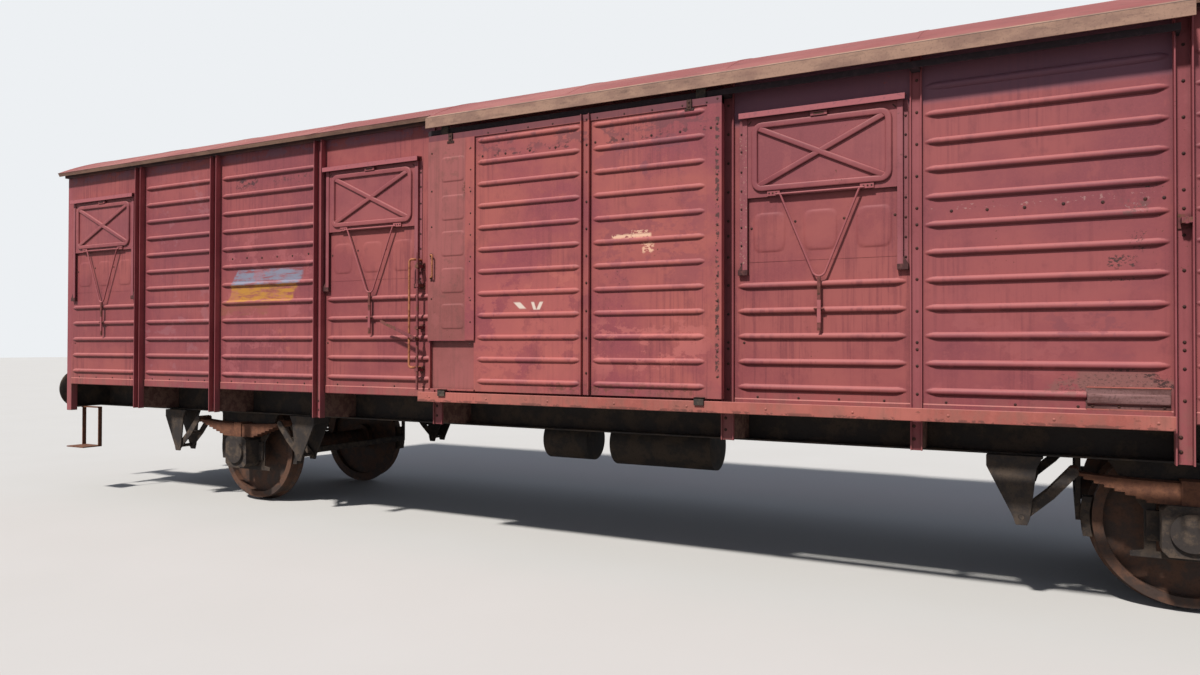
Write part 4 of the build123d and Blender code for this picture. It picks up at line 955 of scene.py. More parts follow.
def rounded_path(points: Sequence[Point], radius: float, steps: int = 6) -> list[Point]:
    """Round the corners of a path.

    Args:
        points: the corners, first and last kept as they are.
        radius: the bend's radius, less where a run is short.
        steps: how many points each bend gets.

    Returns:
        The rounded path.
    """
    line = [Vector(p) for p in points]
    path = [tuple(line[0])]
    for before, here, after in zip(line, line[1:], line[2:]):
        back, ahead = before - here, after - here
        half = back.angle(ahead) / 2.0
        reach = min(radius / math.tan(half), back.length * 0.49, ahead.length * 0.49)
        inwards = (back.normalized() + ahead.normalized()).normalized()
        middle = here + inwards * (reach / math.cos(half))
        spoke = here + back.normalized() * reach - middle
        last = here + ahead.normalized() * reach - middle
        sweep, axis = spoke.angle(last), spoke.cross(last).normalized()
        for step in range(steps + 1):
            path.append(tuple(middle + Matrix.Rotation(sweep * step / steps, 3, axis) @ spoke))
    path.append(tuple(line[-1]))
    return path


def rounded_rectangle(x: Flat, z: Flat, radius: float, out: float) -> list[Point]:
    """A closed rectangle with round corners in an upright plane of the near side.

    Args:
        x: its left and right edges.
        z: its lower and upper edges.
        radius: the radius of its corners.
        out: how far out the plane lies.

    Returns:
        The path.
    """
    path = []
    steps = 5
    for corner_x, corner_z, start in (
        (x[1] - radius, z[1] - radius, 0.0), (x[0] + radius, z[1] - radius, 90.0),
        (x[0] + radius, z[0] + radius, 180.0), (x[1] - radius, z[0] + radius, 270.0),
    ):
        for step in range(steps + 1):
            angle = math.radians(start + 90.0 * step / steps)
            path.append((corner_x + radius * math.cos(angle), -out, corner_z + radius * math.sin(angle)))
    return path


@dataclass(frozen=True)
class Bead:
    """One bead pressed out of a sheet; it runs out at both ends, and stops short at cut_x."""

    x: float
    z: float
    length: float
    width: float
    rise: float
    run_out: float
    cut_x: float = math.inf

    def height(self, x: float, z: float) -> float:
        """How far the sheet stands out at a place.

        Args:
            x: the place along the side.
            z: its height.

        Returns:
            The distance.
        """
        along = (self.length / 2.0 - abs(x - self.x)) / self.run_out
        if along <= 0.0 or abs(z - self.z) >= self.width / 2.0 or x > self.cut_x:
            return 0.0
        end = math.sin(min(1.0, along) * math.pi / 2.0)
        across = abs(z - self.z) / (self.width / 2.0 * (0.22 + 0.78 * end))
        return 0.0 if across >= 1.0 else self.rise * end * (1.0 - across * across) ** 0.7

    def x_lines(self) -> list[float]:
        """Where the mesh needs upright lines.

        Returns:
            Places along the side.
        """
        half = self.length / 2.0
        steps = (-0.05, 0.0, 0.03, 0.08, 0.16, 0.3, 0.5, 0.75, 1.0)
        lines = [self.x + sign * (half - self.run_out * step) for sign in (-1, 1) for step in steps]
        return lines + [self.cut_x, self.cut_x + 0.002]

    def z_lines(self) -> list[float]:
        """Where the mesh needs level lines.

        Returns:
            Heights.
        """
        half = self.width / 2.0
        steps = (0.0, 0.22, 0.42, 0.62, 0.8, 0.92, 1.0, 1.1)
        return [self.z + sign * half * step for sign in (-1, 1) for step in steps]


@dataclass(frozen=True)
class Boss:
    """A shallow rounded rectangle pressed out of a sheet."""

    x: float
    z: float
    width: float
    tall: float
    rise: float
    radius: float
    slope: float = 0.012

    def height(self, x: float, z: float) -> float:
        """How far the sheet stands out at a place.

        Args:
            x: the place along the side.
            z: its height.

        Returns:
            The distance.
        """
        dx = abs(x - self.x) - self.width / 2.0 + self.radius
        dz = abs(z - self.z) - self.tall / 2.0 + self.radius
        away = math.hypot(max(dx, 0.0), max(dz, 0.0)) + min(max(dx, dz), 0.0) - self.radius
        return self.rise * smooth(-away / self.slope)

    def _lines(self, middle: float, size: float) -> list[float]:
        """Lines close together at the slope and the round corner.

        Args:
            middle: the rectangle's middle on one axis.
            size: its size on that axis.

        Returns:
            Places on that axis.
        """
        half = size / 2.0
        steps = (-0.003, 0.0, 0.004, 0.008, 0.012, 0.02, 0.032, self.radius + 0.004)
        return [middle + sign * (half - step) for sign in (-1, 1) for step in steps]

    def x_lines(self) -> list[float]:
        """Where the mesh needs upright lines."""
        return self._lines(self.x, self.width)

    def z_lines(self) -> list[float]:
        """Where the mesh needs level lines."""
        return self._lines(self.z, self.tall)


def spread(lines: Iterable[float], low: float, high: float, longest: float) -> list[float]:
    """Sort mesh lines between two edges, drop near doubles, and fill gaps.

    Args:
        lines: the wanted places.
        low: the first line.
        high: the last line.
        longest: the widest gap left between two lines.

    Returns:
        The lines, lowest first.
    """
    closest = 0.0012
    kept = [low]
    for place in sorted(place for place in lines if low + closest < place < high - closest) + [high]:
        start = kept[-1]
        gap = place - start
        if gap < closest and place != high:
            continue
        parts = math.ceil(gap / longest)
        kept.extend(start + gap * part / parts for part in range(1, parts + 1))
    return kept


def pressed_sheet(shape: Shape, x: Flat, z: Flat, face: float, back: float, forms: Sequence[Bead | Boss],
                  seed: float, hole: Optional[tuple[Flat, Flat]] = None, front_slot: int = 0) -> None:
    """Add a closed panel whose outer face carries pressed forms and the slight waves of thin sheet.

    Its inner face has the material number 1, for the lining.

    Args:
        shape: what the panel is added to.
        x: the panel's left and right edges.
        z: its lower and upper edges.
        face: how far out its outer face lies.
        back: how far out its inner face lies.
        forms: the beads and bosses pressed out of it.
        seed: what makes its waves its own.
        hole: an opening through it, as its x and z ranges.
        front_slot: material number of the outer face.
    """
    wave_height, longest = 0.0011, 0.16
    x_marks = [place for form in forms for place in form.x_lines()]
    z_marks = [place for form in forms for place in form.z_lines()]
    if hole:
        x_marks += list(hole[0])
        z_marks += list(hole[1])
    xs, zs = spread(x_marks, x[0], x[1], longest), spread(z_marks, z[0], z[1], longest)
    wide, high = len(xs), len(zs)

    def out(px: float, pz: float) -> float:
        """The outer face's distance at a place.

        Args:
            px: the place along the side.
            pz: its height.

        Returns:
            How far out the face lies there.
        """
        edge = min(px - x[0], x[1] - px, pz - z[0], z[1] - pz)
        wave = noise.noise(Vector((px * 2.3, pz * 2.9, seed))) * wave_height * smooth(edge / 0.12)
        return face + wave + max([0.0] + [form.height(px, pz) for form in forms])

    points = [(px, -out(px, pz), pz) for pz in zs for px in xs]
    points += [(px, -back, pz) for pz in zs for px in xs]
    offset = wide * high

    def solid(i: int, j: int) -> bool:
        """Whether the cell between lines i and i + 1, j and j + 1 is sheet, not opening.

        Args:
            i: the number of the upright line before it.
            j: the number of the level line below it.

        Returns:
            True for sheet.
        """
        if i < 0 or j < 0 or i >= wide - 1 or j >= high - 1:
            return False
        if not hole:
            return True
        cx, cz = (xs[i] + xs[i + 1]) / 2.0, (zs[j] + zs[j + 1]) / 2.0
        return not (hole[0][0] < cx < hole[0][1] and hole[1][0] < cz < hole[1][1])

    front, rear = [], []
    for j in range(high - 1):
        for i in range(wide - 1):
            if not solid(i, j):
                continue
            a, b, c, d = j * wide + i, j * wide + i + 1, (j + 1) * wide + i + 1, (j + 1) * wide + i
            front.append((a, b, c, d))
            rear.append((offset + d, offset + c, offset + b, offset + a))
            beside = (((i, j - 1), a, b), ((i + 1, j), b, c), ((i, j + 1), c, d), ((i - 1, j), d, a))
            for cell, first, last in beside:
                if not solid(*cell):
                    front.append((last, first, offset + first, offset + last))
    used = sorted({index for item in front + rear for index in item})
    start = len(shape.points)
    renumber = {old: start + new for new, old in enumerate(used)}
    shape.points += [points[index] for index in used]
    for items, slot in ((front, front_slot), (rear, 1)):
        shape.faces += [tuple(renumber[index] for index in item) for item in items]
        shape.slots += [slot] * len(items)


def ridge(shape: Shape, path: Sequence[Point], width: float, rise: float, closed: bool = False,
          slot: int = 0) -> None:
    """Add a low rounded ridge along a path on an upright plate of the near side.

    Args:
        shape: what the ridge is added to.
        path: its centre line, on the plate's face.
        width: its width at the foot.
        rise: how far it stands out.
        closed: whether its end joins its start.
        slot: the material number.
    """
    half = [(0.0, 1.0), (0.22, 1.0), (0.31, 0.97), (0.38, 0.88), (0.43, 0.70), (0.47, 0.38), (0.50, -0.06)]
    profile = [(-step, lift) for step, lift in reversed(half)] + half[1:]
    line = [Vector(p) for p in path]
    scales = [1.0 if closed or 0 < index < len(line) - 1 else 0.15 for index in range(len(line))]
    rings = []
    for spot, way, scale in zip(line, ways_along(line, closed), scales):
        across = Vector((-way.z, 0.0, way.x))
        rings.append([tuple(spot + across * (step * width) + OUT * (lift * rise * scale))
                      for step, lift in profile])
    shape.loft(rings, closed, slot)


# The wagon's shared sizes


@dataclass(frozen=True)
class Bay:
    """The wall between two posts, with the centre of its hatch if it has one."""

    left: float
    right: float
    hatch_x: Optional[float] = None

    def middle(self) -> float:
        """The bay's centre."""
        return (self.left + self.right) / 2.0


@dataclass(frozen=True)
class Body:
    """Sizes that several sub-assemblies share."""

    wall_in: float = 1.300
    wall_out: float = 1.370
    wall_z: Flat = (1.170, 3.440)
    first_row: float = 1.3170
    row_pitch: float = 0.1723
    eave: float = 3.486
    roof_rise: float = 0.380
    roof_half_width: float = 1.480
    posts_x: tuple[float, ...] = (-5.090, -3.930, -2.540, -1.205, 1.305, 2.540, 3.930, 5.090)
    plain_bays: tuple[Bay, ...] = (
        Bay(-5.045, -3.975), Bay(-3.885, -2.5875), Bay(2.575, 3.885), Bay(3.975, 5.045))
    vent_bays: tuple[Bay, ...] = (
        Bay(-6.310, -5.135, -5.7225), Bay(-2.4925, -1.250, -1.940), Bay(1.350, 2.505, 1.940),
        Bay(5.135, 6.310, 5.7225))

    def rows(self, count: int) -> list[float]:
        """The heights of the lowest rows of beads."""
        return [self.first_row + self.row_pitch * row for row in range(count)]

    def roof_radius(self) -> float:
        """The radius of the roof's arch."""
        return (self.roof_half_width ** 2 + self.roof_rise ** 2) / (2.0 * self.roof_rise)

    def roof_centre(self) -> float:
        """The height of the middle of that arch's circle."""
        return self.eave + self.roof_rise - self.roof_radius()


BODY = Body()


def fit(shape: Shape, name: str, paints: Sequence[bpy.types.Material], body: str, slot: str,
        *replaced: str, bevel: float = 0.0) -> None:
    """Turn a shape into a piece that rides on a body, and let it stand for CAD nodes.

    Args:
        shape: the gathered faces.
        name: the piece's name.
        paints: its materials, in the order of the slot numbers.
        body: the CAD body that carries it.
        slot: not used.
        replaced: the CAD nodes that it stands for.
        bevel: the width of a bevel on its sharp edges, or 0.
    """
    piece = shape.piece(name, paints, Corner.CRISP, bevel)
    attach(piece, body)
    if replaced:
        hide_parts(*replaced)
    log.info("%s on %s, %d faces", name, body, len(piece.data.polygons))


def dress(name: str, material: bpy.types.Material, edge: float = 0.0) -> None:
    """Give a CAD node its finish, and round its edges for the eye.

    Args:
        name: the node.
        material: its finish.
        edge: the width of the rounding in metres, or 0.
    """
    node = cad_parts[name]
    node.data.materials.clear()
    node.data.materials.append(material)
    if edge:
        weld = node.modifiers.new("joined_seams", "WELD")
        weld.merge_threshold = 0.00005
        soften(node, edge)
    log.info("%s dressed", name)


# Studio


@dataclass
class Studio:
    """Floor, world, lamp and camera."""

    eye: Point = (3.338, -7.076, 1.590)
    heading_degrees: float = 28.03
    pitch_degrees: float = 0.62
    roll_degrees: float = 0.12
    lens_mm: float = 26.0
    sun_way: Point = (0.20, 1.0, -1.26)
    sun_strength: float = 4.0
    sun_tint: Point = (1.0, 0.96, 0.92)
    sun_spread_degrees: float = 4.0
    sky_strength: float = 0.31

    def build(self) -> None:
        """Set up everything round the wagon."""
        self._camera()
        self._lamp()
        self._world()
        self._floor()
        bpy.context.scene.view_settings.view_transform = "Standard"

    def _camera(self) -> None:
        """Stand where the photographer stood, at eye height, looking along the side."""
        camera = bpy.data.objects.new("camera", bpy.data.cameras.new("camera"))
        camera.data.lens = self.lens_mm
        camera.data.sensor_width = 36.0
        camera.data.clip_end = 300.0
        turn = Matrix.Rotation(math.radians(self.heading_degrees), 4, "Z")
        tilt = Matrix.Rotation(math.radians(90.0 + self.pitch_degrees), 4, "X")
        roll = Matrix.Rotation(math.radians(self.roll_degrees), 4, "Z")
        camera.matrix_world = Matrix.Translation(self.eye) @ turn @ tilt @ roll
        bpy.context.scene.collection.objects.link(camera)
        bpy.context.scene.camera = camera

    def _lamp(self) -> None:
        """One soft key from the upper left and in front."""
        lamp = bpy.data.objects.new("key", bpy.data.lights.new("key", "SUN"))
        lamp.data.energy = self.sun_strength
        lamp.data.color = self.sun_tint
        lamp.data.angle = math.radians(self.sun_spread_degrees)
        lamp.rotation_mode = "QUATERNION"
        lamp.rotation_quaternion = Vector(self.sun_way).to_track_quat("-Z", "Y")
        bpy.context.scene.collection.objects.link(lamp)

    def _world(self) -> None:
        """An even sky that lights the wagon softly and shows as a pale backdrop."""
        world = bpy.data.worlds.new("studio")
        world.use_nodes = True
        tree = world.node_tree
        tree.nodes.clear()
        seen = self._seen(tree)
        light = add_node(tree, "ShaderNodeBackground", None,
                         {"Color": linear("D4DFF6"), "Strength": self.sky_strength})
        shown = add_node(tree, "ShaderNodeBackground", None, {"Color": linear("EDF0F3"), "Strength": 1.0})
        mix = add_node(tree, "ShaderNodeMixShader", None,
                       {0: seen, 1: light.outputs[0], 2: shown.outputs[0]})
        add_node(tree, "ShaderNodeOutputWorld", None, {"Surface": mix.outputs[0]})
        bpy.context.scene.world = world

    def _seen(self, tree: bpy.types.NodeTree) -> bpy.types.NodeSocket:
        """1 where a surface is looked at, straight or by way of another one, and 0 where it only lights.

        Args:
            tree: the node tree that reads it.

        Returns:
            The share.
        """
        path = add_node(tree, "ShaderNodeLightPath")
        seen = path.outputs["Is Camera Ray"]
        for ray in ("Is Glossy Ray", "Is Transmission Ray"):
            seen = add_node(tree, "ShaderNodeMath", {"operation": "MAXIMUM"},
                            {0: seen, 1: path.outputs[ray]}).outputs[0]
        return seen

    def _floor(self) -> None:
        """A plain pale floor under the wheels, which throws only a little light back up."""
        reach = 120.0
        corners = ((-reach, -reach), (reach, -reach), (reach, reach), (-reach, reach))
        floor = Shape([(x, y, 0.0) for x, y in corners], [(0, 1, 2, 3)], [0])
        surface = Surface("matt_studio_floor")
        mottle = surface.grain(0.8, EVEN, 3.0, 0.5, 2.0)
        color = surface.blend(mottle, linear("CFCECA"), linear("D4D3D0"))
        color = surface.blend(self._seen(surface.tree), linear("7A7874"), color)
        piece = floor.piece("studio_floor", [surface.finish(color, 0.9, specular=0.1)], Corner.FLAT, 0.0)


# Side walls


@dataclass
class WallSheets:
    """Pressed sheet panels between the posts, with beads, bosses, foot bars and bolts."""

    palette: Palette
    bead_margin: float = 0.014
    vent_margin: float = 0.022
    bead_width: float = 0.048
    bead_rise: float = 0.022
    bead_run: float = 0.085
    plain_rows: int = 12
    vent_rows: int = 5
    boss_pitch: float = 0.343
    boss_z: float = 2.366
    boss_size: Flat = (0.226, 0.272)
    boss_rise: float = 0.005
    boss_corner: float = 0.062
    window_half: float = 0.440
    window_z: Flat = (2.655, 3.085)
    lap_half: float = 0.49
    lap_z: Flat = (2.168, 2.172)
    vent_bolts: tuple[Flat, ...] = (
        (-0.166, 2.43), (0.155, 2.43), (0.472, 2.43), (-0.468, 2.40), (-0.52, 1.62))
    foot_z: Flat = (1.176, 1.236)
    foot_bolts_z: float = 1.252
    foot_bolts_apart: float = 0.3
    bolt_row_z: float = 2.428
    bolt_row_x: tuple[float, ...] = (0.169, 0.370, 0.573, 0.776, 0.974, 1.180, 1.269)
    mended_bay: int = 2
    patch_x: Flat = (3.464, 3.872)
    patch_z: Flat = (1.240, 1.366)
    patch_thickness: float = 0.004
    patch_lap: float = 0.0035
    patch_bolts_x: tuple[float, ...] = (3.494, 3.624, 3.842)
    patch_bolts_z: float = 1.258
    patch_bead_z: float = 1.299
    patch_bead: Flat = (0.064, 0.017)
    bolt_head: Flat = (0.009, 0.005)
    foot_head: Flat = (0.0085, 0.005)
    row_head: Flat = (0.010, 0.006)
    pin_slot: int = 2
    mend_slot: int = 3
    lip_slot: int = 4

    def _sheet(self, shape: Shape, bay: Bay, margin: float, rows: int, seed: float,
               cut_x: float = math.inf) -> None:
        """Add one bay's sheet, and in a vent bay its bosses, its window, its lap seam and its bolts.

        Args:
            shape: what the sheet is added to.
            bay: the bay.
            margin: how far from the posts the beads end.
            rows: how many rows of beads it has.
            seed: what makes its waves its own.
            cut_x: where a plate cuts the lowest bead off.
        """
        face = BODY.wall_out
        length = bay.right - bay.left - 2.0 * margin
        forms: list[Bead | Boss] = [
            Bead(bay.middle(), z, length, self.bead_width, self.bead_rise, self.bead_run)
            for z in BODY.rows(rows)]
        forms[0] = replace(forms[0], cut_x=cut_x)
        hole = None
        if bay.hatch_x is not None:
            forms += [Boss(bay.hatch_x + step * self.boss_pitch, self.boss_z, *self.boss_size, self.boss_rise,
                           self.boss_corner) for step in (-1, 0, 1)]
            hole = (around(bay.hatch_x, self.window_half), self.window_z)
            # The lap of the upper sheet over the ribbed one ends short of the hatch's runners
            shape.box(around(bay.hatch_x, self.lap_half), (face - 0.002, face + 0.0016), self.lap_z)
            for x, z in self.vent_bolts:
                shape.studs([bay.hatch_x + x], face, [z], self.bolt_head, self.pin_slot)
        pressed_sheet(shape, (bay.left, bay.right), BODY.wall_z, face, BODY.wall_in, forms, seed, hole)

    def _foot(self, shape: Shape, bay: Bay, dice: random.Random) -> None:
        """Add the flanged foot of a bay's sheet, and the bolts just above it.

        Args:
            shape: what they are added to.
            bay: the bay.
            dice: what moves the bolts a little along the side.
        """
        face, top = BODY.wall_out, self.foot_z[1]
        width = bay.right - bay.left
        edges = around(bay.middle(), width / 2.0 - 0.002)
        shape.box(edges, (face - 0.004, face + 0.005), self.foot_z)
        # Its lip takes the lighter rail paint, a painted highlight along the top of the foot
        section = ((face + 0.0055, top - 0.001), (face - 0.001, top + 0.008), (face - 0.001, top - 0.001))
        shape.loft([[(x, -out, z) for out, z in section] for x in edges], False, self.lip_slot)
        count = max(3, round(width / self.foot_bolts_apart))
        for index in range(count):
            x = bay.left + (index + 0.5) * width / count + dice.uniform(-0.03, 0.03)
            shape.studs([x], face, [self.foot_bolts_z], self.foot_head, self.pin_slot)

    def _bolt_row(self, shape: Shape, bay: Bay, dice: random.Random) -> None:
        """Add an uneven row of bolts at mid height, left from a fitting inside.

        Args:
            shape: what they are added to.
            bay: the bay.
            dice: what makes their heights uneven.
        """
        for step in self.bolt_row_x:
            if bay.left + step < bay.right - 0.02:
                z = self.bolt_row_z + dice.uniform(-0.006, 0.006)
                shape.studs([bay.left + step], BODY.wall_out, [z], self.row_head, self.pin_slot)

    def _patch(self, shape: Shape) -> None:
        """Add a plate let into the foot of one bay, with a wider bead of its own from edge to edge.

        Args:
            shape: what it is added to.
        """
        x, z, face = self.patch_x, self.patch_z, BODY.wall_out
        plate, lap = self.patch_thickness, self.patch_lap
        shape.box(x, (face - 0.002, face + plate), z, self.mend_slot)
        bead = [(spot, -face - plate + 0.001, self.patch_bead_z)
                for spot in (x[0] + 0.002, x[0] + 0.004, x[1] - 0.004, x[1] - 0.002)]
        ridge(shape, bead, *self.patch_bead, slot=self.mend_slot)
        for edge in z:
            shape.box(x, (face + 0.002, face + plate + 0.002), around(edge, lap), self.lip_slot)
        shape.box(around(x[0], lap), (face + 0.001, face + plate + 0.001), z, self.mend_slot)
        shape.studs(self.patch_bolts_x, face + plate, [self.patch_bolts_z], self.bolt_head, self.pin_slot)

    def build(self) -> None:
        """Build the panels of both sides."""
        for side in Side:
            dice = random.Random(11 if side is Side.NEAR else 12)
            own = 0.5 if side is Side.FAR else 0.0
            plain, vent = Shape(), Shape()
            for number, bay in enumerate(BODY.plain_bays):
                mended = side is Side.NEAR and number == self.mended_bay
                self._sheet(plain, bay, self.bead_margin, self.plain_rows, number + own,
                            self.patch_x[0] if mended else math.inf)
                self._foot(plain, bay, dice)
                if number in (1, 2):
                    self._bolt_row(plain, bay, dice)
                if mended:
                    self._patch(plain)
            for number, bay in enumerate(BODY.vent_bays):
                self._sheet(vent, bay, self.vent_margin, self.vent_rows, 7.0 + number + own)
                self._foot(vent, bay, dice)
            p = self.palette
            for kind, shape, paint in (("plain", plain, p.wall), ("vent", vent, p.vent)):
                paints = [paint, p.lining, p.pin, p.mend, p.rail]
                fit(shape.moved(side), f"{kind}_sheets_{side.value}", paints, "wagon", "wall_paint",
                    f"{kind}_panels_{side.value}")


@dataclass
class Posts:
    """Channel posts with their rivets, the corner posts and the door's fixed frame."""

    palette: Palette
    web_out: float = 1.378
    rivets_z: tuple[float, ...] = (
        1.300, 1.475, 1.578, 1.622, 1.817, 2.016, 2.210, 2.357, 2.460, 2.660, 2.860, 3.060, 3.260)
    head: Flat = (0.0095, 0.007)
    gusset_rivets_z: Flat = (1.02, 1.10)
    gusset_head: Flat = (0.011, 0.008)

    def build(self) -> None:
        """Dress the posts and set their rivets."""
        for side in Side:
            rivets = Shape()
            for x in BODY.posts_x:
                rivets.studs([x + 0.004], self.web_out, self.rivets_z, self.head)
                rivets.studs([x - 0.015], self.web_out, self.gusset_rivets_z, self.gusset_head)
            fit(rivets.moved(side), f"post_rivets_{side.value}", [self.palette.pin], "wagon", "wall_paint")
            dress(f"side_posts_{side.value}", self.palette.post, 0.002)
            dress(f"door_frame_{side.value}", self.palette.wall, 0.002)
        dress("corner_posts", self.palette.post, 0.004)


# Sliding doors


@dataclass
class DoorLeaf:
    """One sliding door: two ribbed sheets, a proud strip, a middle post, hangers and shoes."""

    palette: Palette
    left: float = -1.2075
    right: float = 1.3075
    bottom: float = 1.238
    top: float = 3.300
    angle: float = 3.250
    back: float = 1.460
    face: float = 1.505
    strip_right: float = -0.7455
    strip_bottom: float = 1.643
    strip_face: float = 1.519
    post_x: float = 0.257
    post_half: float = 0.036
    post_out: float = 1.539
    flange: float = 0.104
    bead_gap: float = 0.018
    bead_form: Point = (0.044, 0.016, 0.060)
    boss_form: tuple[float, ...] = (0.230, 0.206, 0.005, 0.03)
    strip_lap: float = 0.088
    embossings_z: tuple[float, ...] = (1.831, 2.119, 2.414, 2.703, 3.011)
    pocket_out: float = 1.475
    pocket_rim: float = 0.012
    post_rivets_z: tuple[float, ...] = (1.397, 1.655, 1.854, 2.060, 2.258, 2.457, 2.656, 2.877, 3.076, 3.262)
    upper_rivets_z: float = 3.088
    upper_rivets_x: tuple[float, ...] = (-0.678, -0.461, -0.238, -0.010, 0.330, 0.555, 0.781, 1.001)
    flange_rivet_x: float = 1.231
    top_rivets_z: float = 3.266
    top_rivets_x: tuple[float, ...] = (-0.62, -0.45, -0.25, -0.03, 0.35, 0.57, 0.79, 1.02, 1.20)
    strip_rivets_x: tuple[float, ...] = (-1.17, -0.79)
    hanger_half: float = 0.035
    hanger_back: float = 1.497
    hanger_z: Flat = (3.300, 3.422)
    hanger_plates: tuple[Flat, ...] = ((-1.0525, -0.9805), (1.1525, 1.0745))
    plate_out: float = 1.527
    plate_z: Flat = (3.232, 3.298)
    plate_rivets_z: Flat = (3.250, 3.280)
    plate_head: Flat = (0.009, 0.006)
    lip_out: float = 1.524
    lip_z: Flat = (3.222, 3.238)
    roller_z: float = 3.3864
    roller_radius: float = 0.036
    roller_width: float = 0.021
    track_in: float = 1.476
    shoe_out: Flat = (1.535, 1.543)
    shoe_z: Flat = (1.193, 1.246)
    pull_x: Flat = (-1.1735, -1.1435)
    pull_z: Flat = (2.150, 2.330)
    pull_out: Flat = (1.534, 1.546)
    pull_radius: float = 0.0068
    pull_head: Flat = (0.008, 0.006)
    strip_slot: int = 2
    pin_slot: int = 3
    iron_slot: int = 4

    def _sheets(self, shape: Shape) -> None:
        """Add the ribbed fields, the proud strip and the shallow pocket under it.

        Args:
            shape: what they are added to.
        """
        fields = ((self.strip_right + self.bead_gap, self.post_x - self.post_half - self.bead_gap),
                  (self.post_x + self.post_half + self.bead_gap, self.right - self.flange - self.bead_gap))
        beads = [Bead((low + high) / 2.0, z, high - low, *self.bead_form)
                 for low, high in fields for z in BODY.rows(12)]
        pressed_sheet(shape, (self.strip_right, self.right), (self.bottom, self.top), self.face, self.back,
                      beads, 21.0)
        bosses = [Boss(self.left + 0.250, z, *self.boss_form) for z in self.embossings_z]
        strip_z, pocket_z = (self.strip_bottom, self.angle), (self.bottom, self.strip_bottom)
        pressed_sheet(shape, (self.left, self.strip_right), strip_z, self.strip_face, self.back, bosses, 23.0,
                      front_slot=self.strip_slot)
        wide, rim, pocket = (self.left, self.strip_right), self.pocket_rim, (self.pocket_out, self.face)
        shape.box((self.strip_right - self.strip_lap, self.strip_right),
                  (self.strip_face, self.strip_face + 0.003), strip_z)
        shape.box(wide, (self.back, self.pocket_out), pocket_z, self.strip_slot)
        shape.box((self.left, self.left + rim), pocket, pocket_z)
        shape.box((self.strip_right - rim, self.strip_right), pocket, pocket_z)
        shape.box(wide, pocket, (self.bottom, self.bottom + rim))
        shape.box(wide, (self.back, self.strip_face), (self.strip_bottom - 0.006, self.strip_bottom))

    def _frame(self, shape: Shape) -> None:
        """Add the top angle, the middle post's channel, the trailing edge's flange, and their rivets.

        Args:
            shape: what they are added to.
        """
        tall, plate = (self.bottom, self.top), self.face + 0.008
        shape.box((self.left, self.right), (self.back, plate), (self.angle, self.top))
        for sign in (-1, 1):
            leg = (self.post_x + sign * self.post_half, self.post_x + sign * (self.post_half - 0.008))
            shape.box(leg, (self.face - 0.002, self.post_out), tall)
        shape.box(around(self.post_x, self.post_half), (self.face, self.face + 0.006), tall)
        flange = (self.right - self.flange, self.right)
        shape.box(flange, (self.face - 0.002, plate), (self.bottom, self.angle))
        rows = BODY.rows(12)
        for xs, out, zs, head in (
            ([self.post_x + 0.004], self.face + 0.006, self.post_rivets_z, (0.0095, 0.007)),
            ([self.right - 0.03], plate, [z + 0.07 for z in rows], (0.008, 0.005)),
            ([self.strip_right - 0.035], self.strip_face + 0.003,
             [z - 0.05 for z in rows if z > self.strip_bottom], (0.007, 0.005)),
            (self.upper_rivets_x, self.face, [self.upper_rivets_z], (0.0095, 0.006)),
            ([self.flange_rivet_x], plate, [self.upper_rivets_z], (0.0095, 0.006)),
            (self.top_rivets_x, plate, [self.top_rivets_z], (0.007, 0.005)),
            (self.strip_rivets_x, self.strip_face, [z + 0.145 for z in self.embossings_z], (0.008, 0.005)),
        ):
            shape.studs(xs, out, zs, head, self.pin_slot)

    def _running(self, shape: Shape) -> None:
        """Add the hangers with their rollers and plates, and the guide shoes behind the lower rail.

        Args:
            shape: what they are added to.
        """
        for x, plate_x in self.hanger_plates:
            span = around(x, self.hanger_half)
            shape.box(span, (self.hanger_back, self.face), self.hanger_z, self.iron_slot)
            shape.pin((x, -self.track_in, self.roller_z), OUT, self.roller_radius, self.roller_width, 28,
                      self.iron_slot)
            shape.box(around(plate_x, 0.018), (self.face, self.plate_out), self.plate_z, self.pin_slot)
            shape.box(around(plate_x, 0.034), (self.face, self.lip_out), self.lip_z, self.pin_slot)
            shape.studs([plate_x], self.plate_out, self.plate_rivets_z, self.plate_head, self.pin_slot)
            shape.box(span, (self.face, self.shoe_out[1]), (self.bottom, self.shoe_z[1]), self.iron_slot)
            shape.box(span, self.shoe_out, self.shoe_z, self.iron_slot)

    def _pull(self) -> Shape:
        """Build a bent bar to pull the leaf by, near its leading edge.

        Returns:
            The bar with its two feet.
        """
        shape = Shape()
        (foot, bar), (low, high) = self.pull_x, self.pull_z
        root, (bend, reach) = self.strip_face - 0.002, self.pull_out
        path = rounded_path([(foot, -root, low), (foot, -bend, low), (bar, -reach, low), (bar, -reach, high),
                             (foot, -bend, high), (foot, -root, high)], 0.012, 4)
        shape.tube(path, self.pull_radius)
        washer = [(-0.001, 0.015), (0.004, 0.015), (0.007, 0.009)]
        for z in self.pull_z:
            shape.lathe((foot, -self.strip_face, z), OUT, washer, 12, 1)
            shape.studs([foot], self.strip_face, [z - 0.026], self.pull_head, 1)
        return shape

    def build(self) -> None:
        """Build both doors."""
        p = self.palette
        for side in Side:
            shape = Shape()
            self._sheets(shape)
            self._frame(shape)
            self._running(shape)
            body = f"door_{side.value}"
            paints = [p.door, p.lining, p.strip, p.pin, p.casting]
            fit(shape.moved(side), f"sliding_door_{side.value}", paints, body, "door_paint",
                f"door_leaf_{side.value}")
            fit(self._pull().moved(side), f"door_pull_{side.value}", [p.grab, p.pin], body, "rusty_iron",
                f"door_handle_{side.value}")


